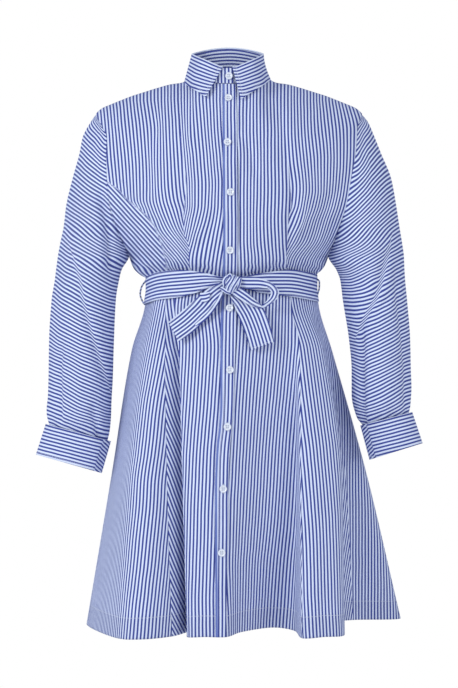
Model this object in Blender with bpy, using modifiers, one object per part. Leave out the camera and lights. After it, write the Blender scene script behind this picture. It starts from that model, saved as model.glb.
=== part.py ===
"""Shirt dress of striped cotton poplin with a tie belt, in its hollow worn form.

Tables are in millimetres, in an elevation drawn on the plane of the side seams from
DRAWING_DISTANCE in front; placed() brings a drawn point and its real depth into the model,
whose origin is the middle of the neck base.
+X is the wearer's left, -Y the front, +Z up.
"""

import math

import bmesh
import bpy
import numpy as np
from mathutils import Vector

MM = 0.001
WALL = 1.2                # cloth wall
SEAM = 0.8                # clear space between two sewn edges, measured along the cloth
LIFT = 2.1                # between the middles of two layers that lie on each other
LAP = 2.5                 # how far the placket laps over the edge that it is sewn to
UNDERLAP = 4.0            # how far the other front runs on under the placket's sewn edge
DRAWING_DISTANCE = 3000.0
DRAWING_LEVEL = -411.0

POPLIN = (0.33, 0.41, 0.74)
SHIRTING = (0.36, 0.44, 0.77)
BUTTON_WHITE = (0.9, 0.9, 0.94)

# ---------------------------------------------------------------- driving dimensions
BUTTON_DIAMETER = 11.5
BUTTON_THICKNESS = 2.4
BUTTON_GAP = 0.5
BUTTON_PROFILE = ((0, 0.55), (0.62, 0.55), (0.82, 1.0), (1.0, 0.6), (0.94, 0), (0, 0))
BELT_WALL = 1.6
THREAD_RADIUS = 0.7
THREAD_ENDS = (-303.0, -356.0)
THREAD_CLEARANCE = 2.6
THREAD_ARC = 6.0
BODICE_WIDTH = 220.0      # a front panel's width round the body, for seam gaps in parts of it
SKIRT_LENGTH = 530.0
SLEEVE_TOP = -50.0
SLEEVE_ROUND = 200.0      # half way round a sleeve
SHOULDER_ROLL = 90.0      # height over which the cloth rounds over the shoulder
RIDGE_DEPTH = 4.0         # the shoulder seam lies this far behind the side seams
WAIST = -322.0
UNDERARM = -272.0
WAIST_HALF = 138.0
NECK_HALF_WIDTH = 62.0
NECK_SIDE_HEIGHT = 9.0
BACK_NECK_RISE = 9.0

# height: front and back depth of the body's section, then its half widths
BODY = dict(
    height=(-349, -322, -310, -303, -294, -272, -250, -226, -193, -150, -110, -50, 0, 40),
    front=(94.5, 94, 94.5, 104, 112, 119, 123, 125, 124, 118, 108, 90, 71, 58),
    back=(73.5, 73, 73.5, 79, 84, 90, 95, 99, 101, 101, 97, 84, 68, 56),
    right=(133.5, 133, 133.5, 143, 150, 160, 180, 196, 212, 228, 237, 243, 245, 245),
    left=(138.5, 138, 138.5, 146, 153, 164, 181, 196, 212, 228, 237, 243, 245, 245),
)

# outer edge of the front and back panels: armhole seam above, side seam below
EDGE_RIGHT = dict(
    height=(-349, -322, -310, -303, -294, -272, -250, -226, -193, -150, -110, -85, -70, -54, -50),
    across=(133.5, 133, 133.5, 143, 150, 158, 168, 178, 188, 193, 194, 193, 199, 208, 210),
)
EDGE_LEFT = dict(
    height=(-349, -322, -310, -303, -294, -272, -250, -226, -193, -150, -110, -85, -70, -54, -50),
    across=(138.5, 138, 138.5, 146, 151, 157, 166, 174, 185, 193, 200, 202, 203, 208, 210),
)

# top of the shoulder against the distance from the middle; inside the neck it only shapes the roll
SHOULDER = dict(
    across=(0, 40, 62, 75, 92, 114, 133, 152, 169, 185, 199, 207, 212, 260),
    height=(110, 58, 9, 1.5, -1, -7, -13, -19, -25.5, -32, -38, -44, -50, -110),
)

# sections of the sleeves, from the shoulder to the cuff
SLEEVE_RIGHT = dict(
    height=(-553, -533, -500, -468, -405, -341, -310, -294, -272, -250, -226, -193, -150, -110,
            -85, -60, -50),
    outer=(285, 289, 286, 285, 284, 280, 275, 273, 270, 266, 261, 257, 247, 236, 231, 218, 211),
    inner=(191, 187, 186, 184, 182, 179, 174, 170, 158, 157, 158, 143, 133, 132, 132, 146, 168),
    depth=(25.5, 40, 50, 54, 56, 58, 60, 61, 62, 66, 68, 68, 66, 60, 50, 28, 12),
    middle=(-28, -25, -19, -15, -8, -3, 0, 0, 0, 0, 0, 0, 2, 3, 3, 4, 4),
)
SLEEVE_LEFT = dict(
    height=(-531, -515, -484, -452, -405, -341, -310, -294, -272, -250, -226, -193, -150, -110,
            -85, -60, -50),
    outer=(285, 288, 288, 287, 286, 281, 278, 277, 276, 273, 269, 264, 256, 240, 230, 219, 211),
    inner=(210, 200, 194, 194, 190, 180, 176, 170, 157, 157, 157, 146, 136, 134, 134, 148, 168),
    depth=(26.5, 40, 50, 54, 56, 58, 60, 61, 62, 66, 68, 68, 66, 60, 50, 28, 12),
    middle=(-30, -27, -20, -15, -8, -3, 0, 0, 0, 0, 0, 0, 2, 3, 3, 4, 4),
)

# cuffs: both ends of the top and of the lower edge in elevation, half depth and middle
CUFF_RIGHT = dict(
    top_outer=(-288, -536), top_inner=(-186, -563),
    low_outer=(-304, -586), low_inner=(-201, -615), depth=30, middle=-28,
)
CUFF_LEFT = dict(
    top_outer=(288, -517), top_inner=(207, -538),
    low_outer=(305, -568), low_inner=(222, -594), depth=32, middle=-30,
)

# upright folds of the skirt, from the middle of the front round by the wearer's left:
# x at the waist, at 420 and 620 below the neck and at the hem, depth at the same places, hem height
SKIRT_RIBS = (
    ("front_middle", 0, -1, -2, -4, -93.5, -114, -134, -132, -874),
    ("front_left", 24, 25, 24, 20, -92, -111, -124, -103, -866),
    ("valley_front_left", 61, 65, 65, 68, -84, -103, -104, -66, -859),
    ("step_left", 87, 98, 104, 103, -72.5, -92, -93, -72, -864),
    ("pleat_edge_left", 96, 112, 114, 116, -67, -95, -121, -141, -876),
    ("lobe_left", 111, 132, 147, 150, -55.5, -86, -119, -140, -874),
    ("lobe_edge_left", 121, 148, 178, 182, -44.5, -70, -96, -112, -871),
    ("valley_side_left", 127, 147, 170, 174, -36.5, -44, -30, 0, -852),
    ("side_front_left", 132, 153, 184, 196, -27, -22, 0, 52, -847),
    ("side_left", 138, 162, 218, 270, 0, 5, 30, 85, -845),
    ("back_side_left", 122, 147, 191, 232, 33.5, 60, 95, 148, -833),
    ("back_valley_left", 100, 122, 144, 160, 50, 82, 96, 112, -838),
    ("back_fold_left", 75, 92, 110, 124, 61, 104, 142, 186, -829),
    ("back_hollow_left", 38, 46, 53, 62, 69.5, 106, 122, 130, -836),
    ("back_middle", 0, 1, 2, 4, 72.5, 116, 156, 192, -828),
    ("back_hollow_right", -36, -43, -49, -55, 70, 106, 124, 134, -835),
    ("back_fold_right", -71, -87, -103, -116, 61, 102, 145, 186, -829),
    ("back_valley_right", -99, -121, -144, -163, 48.5, 78, 96, 112, -838),
    ("back_side_right", -121, -143, -175, -204, 30, 46, 68, 90, -842),
    ("side_right", -132.5, -153, -185, -224, 0, -5, -8, -12, -855),
    ("lobe_side_right", -121, -136, -160, -180, -38.5, -65, -98, -122, -875),
    ("lobe_right", -110, -118, -131, -141, -52, -87, -122, -148, -878),
    ("gore_seam_right", -98, -101, -98, -90, -62, -91, -115, -128, -873),
    ("pleat_inner_right", -88, -73, -64, -58, -66, -84, -88, -66, -864),
    ("pleat_edge_right", -84, -79, -73.5, -66, -72, -100, -119, -124, -874),
    ("front_right", -46, -46, -42, -37, -87.5, -111, -133, -136, -874),
)
RIB_HEIGHTS = (WAIST, -352, -420, -620)
BELT_FLARE = 1.025        # the skirt at the second of these heights, against the waist
RIB_GAP = 0.012           # seam gap as a part of the way from rib to rib
PLEAT_GAP = 0.05          # the same where the ribs of a pleat lie close together

# placket: x of its sewn and of its free edge against height
PLACKET = dict(
    height=(-873, -640, -605, -570, -545, -500, -400, -260, -50, 0),
    sewn=(-21, -22, -21, -19, -16, -13.5, -13.5, -9, -10, -10),
    free=(-5, -1, 0, 2, 4.5, 7, 10.5, 13.5, 12, 11),
)
FRONT_HEM = -874.0
BUTTONS = ((-1, -22), (-2.4, -92), (2.4, -171), (1.6, -262.5), (1, -354),
           (1.4, -452), (-2.5, -542), (-9, -640), (-11.4, -741))

# creases of the bodice and sleeves: start and end in elevation, depth, half width and sharpness
CREASES_RIGHT = (
    ("dart_tuck", -68, -165, -64, -290, 5.0, 9),
    ("side_drag", -152, -190, -106, -292, 5.0, 12),
    ("shoulder_drag", -104, -54, -144, -185, 3.0, 14),
    ("front_tuck", -17, -193, -46, -265, 2.5, 10),
    ("side_break", -191, -158, -152, -190, 3.0, 9),
)
CREASES_LEFT = (
    ("dart_tuck", 94, -136, 91, -288, 5.0, 9),
    ("shoulder_drag", 65, -18, 93, -136, 3.0, 14),
    ("front_tuck", 9, -73, 40, -168, 2.0, 10),
    ("side_drag", 150, -190, 118, -292, 4.0, 12),
    ("side_break", 186, -165, 150, -198, 2.5, 9),
)
CREASES_SLEEVE_RIGHT = (
    ("cuff_pleat", -269, -430, -268, -536, 5.0, 8),
    ("elbow_drag", -235, -310, -193, -474, 5.0, 11),
    ("wrist_drag", -210, -510, -192, -545, 3.0, 9),
    ("head_crease", -212, -100, -208, -155, 3.0, 8),
)
CREASES_SLEEVE_LEFT = (
    ("cuff_pleat", 280, -412, 281, -512, 5.0, 8),
    ("elbow_drag", 242, -310, 209, -391, 5.0, 11),
    ("wrist_line", 209, -391, 211, -528, 4.0, 9),
    ("outer_drag", 262, -330, 278, -391, 3.0, 9),
)
GATHERS = 14              # small waves across each front panel at the waist
GATHER_DEPTH = 1.6
GATHER_HEIGHT = 26.0
CUFF_PLEATS = 5
CUFF_PLEAT_DEPTH = 2.2
CUFF_PLEAT_HEIGHT = 45.0

# belt: top and lower edge in elevation against x
BELT = dict(
    across=(-136, -130, -106, -76, -52, -36, -11, 12, 45, 70, 95, 130, 142),
    top=(-309, -306, -297, -294, -296, -299, -305, -306, -300, -296, -293.5, -300, -303.5),
    low=(-350, -348, -341, -337, -331, -325, -318, -320, -329, -333, -336, -343, -345),
)
BELT_SIDE_TOP = -311.0
BELT_BACK_TOP = -304.0
BELT_BACK_LOW = -344.0

# ribbons of the bow: both edges (x and height), then the clearance of both from the belt
BOW_LOOP = (
    (13, -308, 13, -319, 0.0, 0.0), (44, -309, 33, -324, 8, 9), (65, -314.6, 52, -323.5, 11, 11),
    (76, -324, 66, -323.5, 11, 9), (78, -335, 70, -330, 9, 6), (68, -346, 63, -340, 6, 3),
    (53, -353, 51, -348.6, 6, 5.5), (33, -348, 39.5, -333.6, 5.6, 5.4), (13, -336, 17, -323, 4.2, 3.6),
)
TAIL_RIGHT = (
    (-4, -309, -3, -325, 0.5, 0.5), (-35, -325, -18, -345, 4, 4), (-55, -342, -33, -366, 6, 6),
    (-76, -360, -56, -391, 6, 6), (-96, -377, -80, -407, 5, 5),
)
TAIL_LEFT = (
    (2, -330, 12, -329, 0.5, 0.5), (12, -352, 38, -342, 4, 1.5), (21, -377, 54, -361, 5, 5),
    (30, -400, 62, -385, 5, 5), (37, -420.5, 69.4, -407, 5, 5),
)
RIBBON_LIFT = 2.2
BELT_LIFT = 4.6
KNOT = dict(centre=(4, -316), half=(13, 8.5, 15.5), clearance=3.4)


def clear_scene():
    for obj in list(bpy.data.objects):
        bpy.data.objects.remove(obj, do_unlink=True)


# ---------------------------------------------------------------- drawing functions
def curve(keys, values, at):
    """Smooth curve through a table's rows, with no overshoot between them."""
    keys = np.asarray(keys, float)
    values = np.asarray(values, float)
    at = np.clip(np.asarray(at, float), keys[0], keys[-1])
    steps = np.diff(keys)
    rises = np.diff(values) / steps
    slopes = np.zeros_like(values)
    same = rises[:-1] * rises[1:] > 0
    total = np.where(same, rises[:-1] + rises[1:], 1.0)
    slopes[1:-1] = np.where(same, 2 * rises[:-1] * rises[1:] / total, 0.0)
    slopes[0] = rises[0]
    slopes[-1] = rises[-1]
    row = np.clip(np.searchsorted(keys, at) - 1, 0, len(keys) - 2)
    step = steps[row]
    part = (at - keys[row]) / step
    back = 1 - part
    return (
        (1 + 2 * part) * back**2 * values[row]
        + part * back**2 * step * slopes[row]
        + part**2 * (3 - 2 * part) * values[row + 1]
        - part**2 * back * step * slopes[row + 1]
    )


def read(table, column, at, key="height"):
    return curve(table[key], table[column], at)


def ease(low, high, value):
    part = np.clip((value - low) / (high - low), 0, 1)
    return part * part * (3 - 2 * part)


def placed(across, depth, height):
    """Model point of a drawn point whose real depth is known."""
    scale = 1 + depth / DRAWING_DISTANCE
    return np.stack(
        [across * scale, depth + 0 * across, DRAWING_LEVEL + (height - DRAWING_LEVEL) * scale], -1
    )


def crease_relief(creases, across, height):
    """How far the creases draw the cloth in at drawn points."""
    relief = np.zeros(np.broadcast(across, height).shape)
    for _, x0, z0, x1, z1, depth, half in creases:
        length = math.hypot(x1 - x0, z1 - z0)
        run = ((across - x0) * (x1 - x0) + (height - z0) * (z1 - z0)) / length**2
        off = ((across - x0) * (z1 - z0) - (height - z0) * (x1 - x0)) / length
        along = ease(-0.15, 0.25, run) * (1 - ease(0.95, 1.15, run))
        relief += depth * along * np.exp(-((off / half) ** 2))
    return relief


# ---------------------------------------------------------------- body of the dress
def side_name(side):
    return "right" if side < 0 else "left"


def body_edge(side, height):
    return read(EDGE_RIGHT if side < 0 else EDGE_LEFT, "across", height)


def sleeve_section(side, height):
    table = SLEEVE_RIGHT if side < 0 else SLEEVE_LEFT
    outer = read(table, "outer", height)
    inner = read(table, "inner", height)
    return (
        (outer + inner) / 2,
        (outer - inner) / 2,
        read(table, "depth", height),
        read(table, "middle", height),
    )


def seam_angle(side, height):
    """Angle of the armhole seam round the sleeve's section, 0 on the inner side."""
    centre, half, _, _ = sleeve_section(side, height)
    cosine = np.clip((centre - body_edge(side, height)) / half, -1, 1)
    return np.where(height > UNDERARM, np.arccos(cosine), 0.0)


def armhole_depth(side, height, face):
    _, _, depth, middle = sleeve_section(side, height)
    return middle + face * depth * np.sin(seam_angle(side, height))


def roll(across, height):
    top = read(SHOULDER, "height", np.abs(across), "across")
    part = np.clip((top - height) / SHOULDER_ROLL, 0, 1)
    return np.sqrt(np.maximum(1 - (1 - part) ** 2, 0))


def belt_edge(column, across, face):
    """Height of the belt's top or low edge; behind, it runs level."""
    behind = dict(top=BELT_BACK_TOP, low=BELT_BACK_LOW)[column]
    if face > 0:
        side = read(BELT, column, np.sign(across + 1e-9) * WAIST_HALF, "across")
        return behind + (side - behind) * ease(100, WAIST_HALF, np.abs(across))
    return read(BELT, column, across, "across")


def waist_shift(side, turn, height, face):
    """The belt lies higher in front and behind than at the sides, and the cloth with it."""
    across = side * np.sin(turn) * WAIST_HALF
    rise = belt_edge("top", across, face) - BELT_SIDE_TOP
    return rise * (1 - ease(-294, UNDERARM, height))


def body_point(side, u, height, face, relief=True):
    """Drawn across, real depth: u runs from the middle of the front or back to the panel's edge."""
    level = height - waist_shift(side, u * math.pi / 2, height, face)
    half = read(BODY, side_name(side), level)
    edge = body_edge(side, level)
    turn = u * np.arcsin(np.clip(edge / half, -1, 1))
    across = half * np.sin(turn)
    deep = read(BODY, "front" if face < 0 else "back", level)
    rounded = roll(across, height)
    depth = RIDGE_DEPTH * (1 - rounded) + face * deep * np.cos(turn) * rounded
    wanted = np.where(height > UNDERARM, armhole_depth(side, height, face), 0.0)
    rounded_edge = roll(edge, height)
    found = RIDGE_DEPTH * (1 - rounded_edge)
    found = found + face * deep * rounded_edge * np.sqrt(np.maximum(1 - (edge / half) ** 2, 0))
    depth = depth + (wanted - found) * np.clip(u, 0, 1) ** 5
    if relief:
        creases = CREASES_RIGHT if side < 0 else CREASES_LEFT
        calm = (1 - np.clip(u, 0, 1) ** 12) * ease(-312, -296, level)
        drawn = crease_relief(creases, side * across, height)
        wave = np.cos(u * GATHERS * 2 * math.pi) * ease(0.25, 0.45, u)
        wave = wave * GATHER_DEPTH * (1 - ease(-300, -300 + GATHER_HEIGHT, level))
        depth = depth - face * (drawn + wave) * calm
    return side * across, depth


def neck_height(across, face):
    part = np.clip(np.abs(across) / NECK_HALF_WIDTH, 0, 1)
    front = NECK_SIDE_HEIGHT * part**2
    behind = NECK_SIDE_HEIGHT + BACK_NECK_RISE * (1 - part**2)
    return front if face < 0 else behind


def top_height(side, u, face):
    """Height of the neckline or shoulder seam at the top of a column."""
    height = np.zeros_like(u)
    for _ in range(12):
        across = np.abs(body_point(side, u, height, face, relief=False)[0])
        shoulder = read(SHOULDER, "height", across, "across")
        height = np.where(across < NECK_HALF_WIDTH, neck_height(across, face), shoulder)
    return height


def new_material(name, colour, roughness):
    material = bpy.data.materials.new(name)
    material.use_nodes = True
    shader = material.node_tree.nodes["Principled BSDF"]
    shader.inputs["Base Color"].default_value = (*colour, 1)
    shader.inputs["Roughness"].default_value = roughness
    shader.inputs["Metallic"].default_value = 0.0
    material.diffuse_color = (*colour, 1)
    return material


def keep(mesh, name, colour, roughness=0.85):
    obj = bpy.data.objects.new(name, mesh)
    dress.objects.link(obj)
    obj.data.materials.append(new_material(name + "_cloth", colour, roughness))
    obj.data.shade_smooth()
    obj.data.set_sharp_from_angle(angle=math.radians(50))
    return obj


def sheet(name, columns, rows, place, colour=POPLIN, wall=WALL, join=0.0, even=True):
    """Open sheet of cloth from a grid; place(u, v) gives its middle surface in millimetres."""
    bm = bmesh.new()
    bmesh.ops.create_grid(bm, x_segments=columns, y_segments=rows, size=1)
    grid = np.array([vert.co[:2] for vert in bm.verts])
    u = (grid[:, 0] + 1) / 2
    v = (1 - grid[:, 1]) / 2
    for vert, point in zip(bm.verts, place(u, v) * MM):
        vert.co = point
    if join:
        bmesh.ops.remove_doubles(bm, verts=bm.verts, dist=join * MM)
    mesh = bpy.data.meshes.new(name)
    bm.to_mesh(mesh)
    bm.free()
    obj = keep(mesh, name, colour)
    thicken = obj.modifiers.new("cloth_wall", "SOLIDIFY")
    thicken.thickness = wall * MM
    thicken.offset = 0
    thicken.use_even_offset = even
    thicken.use_rim = True
    return obj


BODICE_ROWS = 14
BELT_ROW = 12             # the row at the top of the belt, where the cloth turns in
SKIRT_ROWS = 12


def row_height(top, belt_top, v):
    """Rows lie closer together where the cloth rounds over the shoulder."""
    turned_in = BELT_ROW / BODICE_ROWS
    above = top + (belt_top - top) * np.minimum(v / turned_in, 1) ** 1.3
    below = np.maximum(v - turned_in, 0) / (1 - turned_in)
    return above + (WAIST + SEAM - belt_top) * below


def belt_row(side, u, face):
    return belt_edge("top", side * WAIST_HALF * np.sin(u * math.pi / 2), face) + 0.5


def panel_part(side, across, height):
    """u of a drawn distance from the middle."""
    half = read(BODY, side_name(side), height)
    edge = body_edge(side, height)
    return np.arcsin(side * across / half) / np.arcsin(np.clip(edge / half, -1, 1))


def panel_column(side, u, v, face):
    top = top_height(side, np.clip(u, 0, 1), face)
    height = row_height(top, belt_row(side, u, face), v)
    across, depth = body_point(side, u, height, face)
    return placed(across, depth + face * SEAM / 3 * (1 - ease(0, 0.1, v)), height)


def front_panel(side):
    def place(u, v):
        rough = row_height(0.0, belt_row(side, 0.0, -1), v)
        sewn = read(PLACKET, "sewn", rough)
        start = panel_part(side, sewn + (LAP if side < 0 else UNDERLAP), rough)
        u = start + (1 - SEAM / BODICE_WIDTH - start) * u
        return panel_column(side, u, v, -1)

    return place


def back_panel(u, v):
    reach = np.minimum(np.abs(2 * u - 1), 1 - SEAM / BODICE_WIDTH)
    right = panel_column(-1, reach, v, 1)
    left = panel_column(1, reach, v, 1)
    return np.where((u < 0.5)[:, None], right, left)


# ---------------------------------------------------------------- sleeves and cuffs
def cuff_tilt(side):
    table = CUFF_RIGHT if side < 0 else CUFF_LEFT
    (x0, z0), (x1, z1) = table["top_outer"], table["top_inner"]
    return (z1 - z0) / (x1 - x0)


def sleeve_point(side, t, height):
    """t runs from the front of the underarm seam round the outside to its back."""
    table = SLEEVE_RIGHT if side < 0 else SLEEVE_LEFT
    centre, half, depth, middle = sleeve_section(side, height)
    start = seam_angle(side, height)
    angle = start + t * (2 * math.pi - 2 * start)
    across = side * (centre - half * np.cos(angle))
    creases = CREASES_SLEEVE_RIGHT if side < 0 else CREASES_SLEEVE_LEFT
    lowest = table["height"][0]
    facing = np.clip(np.sin(angle) * 1.6, 0, 1) + 0.7 * np.clip(-np.sin(angle) * 1.6, 0, 1)
    free = ease(-60, -90, height)
    drawn = crease_relief(creases, across, height) * facing * free
    wave = (1 + np.cos(2 * CUFF_PLEATS * angle)) / 2
    wave = wave * CUFF_PLEAT_DEPTH * (1 - ease(lowest, lowest + CUFF_PLEAT_HEIGHT, height))
    inward = (drawn + wave) / np.hypot(half, depth) * 1.3
    across = side * (centre - half * (1 - inward) * np.cos(angle))
    real_depth = middle - depth * (1 - inward) * np.sin(angle)
    tilt = cuff_tilt(side) * (1 - ease(lowest, lowest + 90, height))
    return across, real_depth, height + (across - side * centre) * tilt


def sleeve(side):
    lowest = (SLEEVE_RIGHT if side < 0 else SLEEVE_LEFT)["height"][0]

    def place(u, v):
        height = SLEEVE_TOP + (lowest - SLEEVE_TOP) * (0.25 * v + 0.75 * v**1.25)
        trim = 1.4 * SEAM / SLEEVE_ROUND * (height > UNDERARM)
        t = trim + (1 - 2 * trim) * u
        return placed(*sleeve_point(side, t, height))

    return place


CUFF_START = math.radians(205)    # where the under end of the cuff lies, round from its inner side
CUFF_ROUND = math.radians(395)    # how far the cuff runs round, so that its ends lap behind
CUFF_BUTTON = math.radians(230)


def cuff(side):
    table = CUFF_RIGHT if side < 0 else CUFF_LEFT

    def place(u, v):
        turns = CUFF_START + u * CUFF_ROUND
        corners = [np.array(table[key], float) for key in
                   ("top_outer", "top_inner", "low_outer", "low_inner")]
        outer = corners[0] + (corners[2] - corners[0]) * (0.03 + 0.97 * v)[:, None]
        inner = corners[1] + (corners[3] - corners[1]) * (0.03 + 0.97 * v)[:, None]
        centre = (outer + inner) / 2
        half = (inner - outer) / 2
        grow = 1 + 0.05 * (u - 0.5)
        line = centre + half * (grow * np.cos(turns))[:, None]
        depth = table["middle"] - 4 * v - table["depth"] * grow * np.sin(turns)
        return placed(line[:, 0], depth, line[:, 1])

    return place


# ---------------------------------------------------------------- skirt
RIB_NAMES = [row[0] for row in SKIRT_RIBS]
RIB_VALUES = np.array([row[1:] for row in SKIRT_RIBS], float)


def rib_points(v):
    """Drawn x, real depth and drawn height of every rib at the rows v, 0 at the waist."""
    hem = RIB_VALUES[:, 8]
    height = WAIST + v[:, None] * (hem - WAIST)
    across = np.empty_like(height)
    depth = np.empty_like(height)
    for n, row in enumerate(RIB_VALUES):
        keys = (hem[n], *RIB_HEIGHTS[::-1])
        x_waist, x_upper, x_middle, x_hem, y_waist, y_upper, y_middle, y_hem = row[:8]
        across[:, n] = curve(keys, (x_hem, x_middle, x_upper, x_waist * BELT_FLARE, x_waist), height[:, n])
        depth[:, n] = curve(keys, (y_hem, y_middle, y_upper, y_waist * BELT_FLARE, y_waist), height[:, n])
    return np.stack([across, depth, height], -1)


def skirt_point(ring, v):
    """ring counts ribs from the middle of the front; fractions lie on a smooth curve."""
    count = len(SKIRT_RIBS)
    levels, which = np.unique(v, return_inverse=True)
    points = rib_points(levels)[which]
    first = np.floor(ring).astype(int)
    part = (ring - first)[:, None]
    rows = np.arange(len(ring))
    before, here, after, beyond = (points[rows, (first + k) % count] for k in (-1, 0, 1, 2))
    return 0.5 * (
        2 * here
        + (after - before) * part
        + (2 * before - 5 * here + 4 * after - beyond) * part**2
        + (3 * here - before - 3 * after + beyond) * part**3
    )


def waist_gap(v):
    """Rows of the skirt, starting the seam's gap below the bodice."""
    return SEAM / SKIRT_LENGTH + (1 - SEAM / SKIRT_LENGTH) * v


def ring_at(across, v):
    """Place on the ring of drawn x values near the middle of the front."""
    rings = np.linspace(-1, 1, 81)
    result = np.empty(len(v))
    for level in np.unique(v):
        x = skirt_point(rings, np.full(len(rings), level))[:, 0]
        mine = v == level
        result[mine] = np.interp(across[mine], x, rings)
    return result


def skirt_panel(first, last, start_gap=RIB_GAP, end_gap=RIB_GAP):
    """Panel from rib to rib; None stands for the edge at the placket."""
    def place(u, v):
        rows = waist_gap(v)
        sewn = read(PLACKET, "sewn", WAIST + rows * (FRONT_HEM - WAIST))
        start = ring_at(sewn + UNDERLAP, rows) if first is None else first + start_gap
        end = len(SKIRT_RIBS) + ring_at(sewn + LAP, rows) if last is None else last - end_gap
        point = skirt_point(start + (end - start) * u, rows)
        return placed(point[:, 0], point[:, 1], point[:, 2])

    return place


def rib(name):
    return RIB_NAMES.index(name)


# ---------------------------------------------------------------- what lies on the front
def on_bodice(across, v):
    """Drawn points of the bodice front at rows v."""
    height = row_height(0.0, belt_edge("top", across, -1) + 0.5, v)
    depth = np.empty(len(across))
    for side in (-1, 1):
        mine = side * across >= 0
        u = panel_part(side, across[mine], height[mine])
        depth[mine] = body_point(side, u, height[mine], -1)[1]
    return across, depth, height


def on_skirt(across, v):
    """Drawn points of the skirt front at rows v."""
    rows = waist_gap(v)
    point = skirt_point(ring_at(across, rows) % len(SKIRT_RIBS), rows)
    return point[:, 0], point[:, 1], point[:, 2]


def placket(surface):
    def place(u, v):
        rough = row_height(0.0, -305.0, v) if surface is on_bodice else WAIST + v * (FRONT_HEM - WAIST)
        sewn = read(PLACKET, "sewn", rough)
        free = read(PLACKET, "free", rough)
        across, depth, height = surface(sewn + (free - sewn) * u, v)
        return placed(across, depth - LIFT, height)

    return place


def chord(surface, rows, across, height):
    """Depth and slope of the faceted front, a straight line between its rows, at a drawn point."""
    v = np.linspace(0, 1, rows + 1)
    _, depth, heights = surface(np.full(rows + 1, float(across)), v)
    at = np.interp((-height + 4, -height, -height - 4), -heights, depth)
    return at[1], (at[2] - at[0]) / 8


def button(name, across, height, thickness=LIFT + WALL / 2):
    """Turned shirt button; the holes are too small for a solid of this size."""
    upper = height > WAIST
    surface = on_bodice if upper else on_skirt
    depth, slope = chord(surface, BODICE_ROWS if upper else SKIRT_ROWS, across, height)
    depth = depth - thickness - BUTTON_GAP
    point = placed(np.array([float(across)]), np.array([depth]), np.array([float(height)]))[0]
    return set_button(name, point, (0, -1, slope))


def cuff_button(name, side):
    """Button over the lap of the cuff, half way down it."""
    u = (CUFF_BUTTON + 2 * math.pi - CUFF_START) / CUFF_ROUND
    points = cuff(side)(np.array([u, u + 0.01, u]), np.array([0.5, 0.5, 0.6]))
    out = np.cross(points[1] - points[0], points[2] - points[0])
    out = out / np.linalg.norm(out) * np.sign(out[1])
    return set_button(name, points[0] + out * (WALL / 2 + BUTTON_GAP), out)


def set_button(name, point, facing):
    radius = BUTTON_DIAMETER / 2
    bm = bmesh.new()
    verts = [bm.verts.new((r * radius * MM, 0, h * BUTTON_THICKNESS * MM)) for r, h in BUTTON_PROFILE]
    edges = [bm.edges.new(pair) for pair in zip(verts, verts[1:])]
    bmesh.ops.spin(
        bm, geom=verts + edges, cent=(0, 0, 0), axis=(0, 0, 1), angle=2 * math.pi,
        steps=16, use_merge=True,
    )
    bmesh.ops.remove_doubles(bm, verts=bm.verts, dist=0.01 * MM)
    bmesh.ops.recalc_face_normals(bm, faces=bm.faces)
    mesh = bpy.data.meshes.new(name)
    bm.to_mesh(mesh)
    bm.free()
    obj = keep(mesh, name, BUTTON_WHITE, 0.3)
    obj.location = np.asarray(point) * MM
    obj.rotation_euler = Vector(facing).to_track_quat("Z", "Y").to_euler()
    return obj


# ---------------------------------------------------------------- belt and bow
def waist_ring(turn, height, lift):
    """Point of the dress at the belt, moved out; turn 0 is the front, 90 the wearer's left."""
    wide = np.where(np.sin(turn) < 0, read(BODY, "right", WAIST), read(BODY, "left", WAIST))
    deep = np.where(np.cos(turn) > 0, read(BODY, "front", WAIST), read(BODY, "back", WAIST))
    flare = 0.16 * np.maximum(WAIST - 6 - height, 0)
    return (wide + lift + flare) * np.sin(turn), -(deep + lift + flare) * np.cos(turn)


def belt(u, v):
    gap = math.radians(1.5)
    turn = gap + u * (2 * math.pi - 2 * gap)
    across = waist_ring(turn, np.full_like(turn, WAIST), 0)[0]
    ahead = np.cos(turn) > 0
    top = np.where(ahead, belt_edge("top", across, -1), belt_edge("top", across, 1))
    low = np.where(ahead, belt_edge("low", across, -1), belt_edge("low", across, 1))
    height = top + (low - top) * v
    across, depth = waist_ring(turn, height, BELT_LIFT + 0.8 * np.sin(math.pi * v))
    return placed(across, depth, height)


def over_front(across, height):
    """Depth of the belt, or of the skirt below it, in front."""
    turn = np.arcsin(np.clip(across / (WAIST_HALF + 12), -1, 1))
    on_belt = waist_ring(turn, height, BELT_LIFT + 0.8)[1]
    skirt = [chord(on_skirt, SKIRT_ROWS, x, min(z, WAIST - 2))[0] for x, z in zip(across, height)]
    share = ease(BELT_BACK_LOW - 18, BELT_BACK_LOW, height)
    return np.minimum(skirt, on_belt) * share + np.array(skirt) * (1 - share)


def ribbon(stations):
    """Strip of belting between two edges."""
    rows = np.array(stations, float)
    rows_at = np.arange(len(rows))

    def place(u, v):
        at = v * (len(rows) - 1)
        x0, z0, x1, z1, gap0, gap1 = (curve(rows_at, rows[:, k], at) for k in range(6))
        across = x0 + (x1 - x0) * u
        height = z0 + (z1 - z0) * u
        depth = over_front(across, height) - RIBBON_LIFT - gap0 - (gap1 - gap0) * u
        return placed(across, depth, height)

    return place


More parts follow.
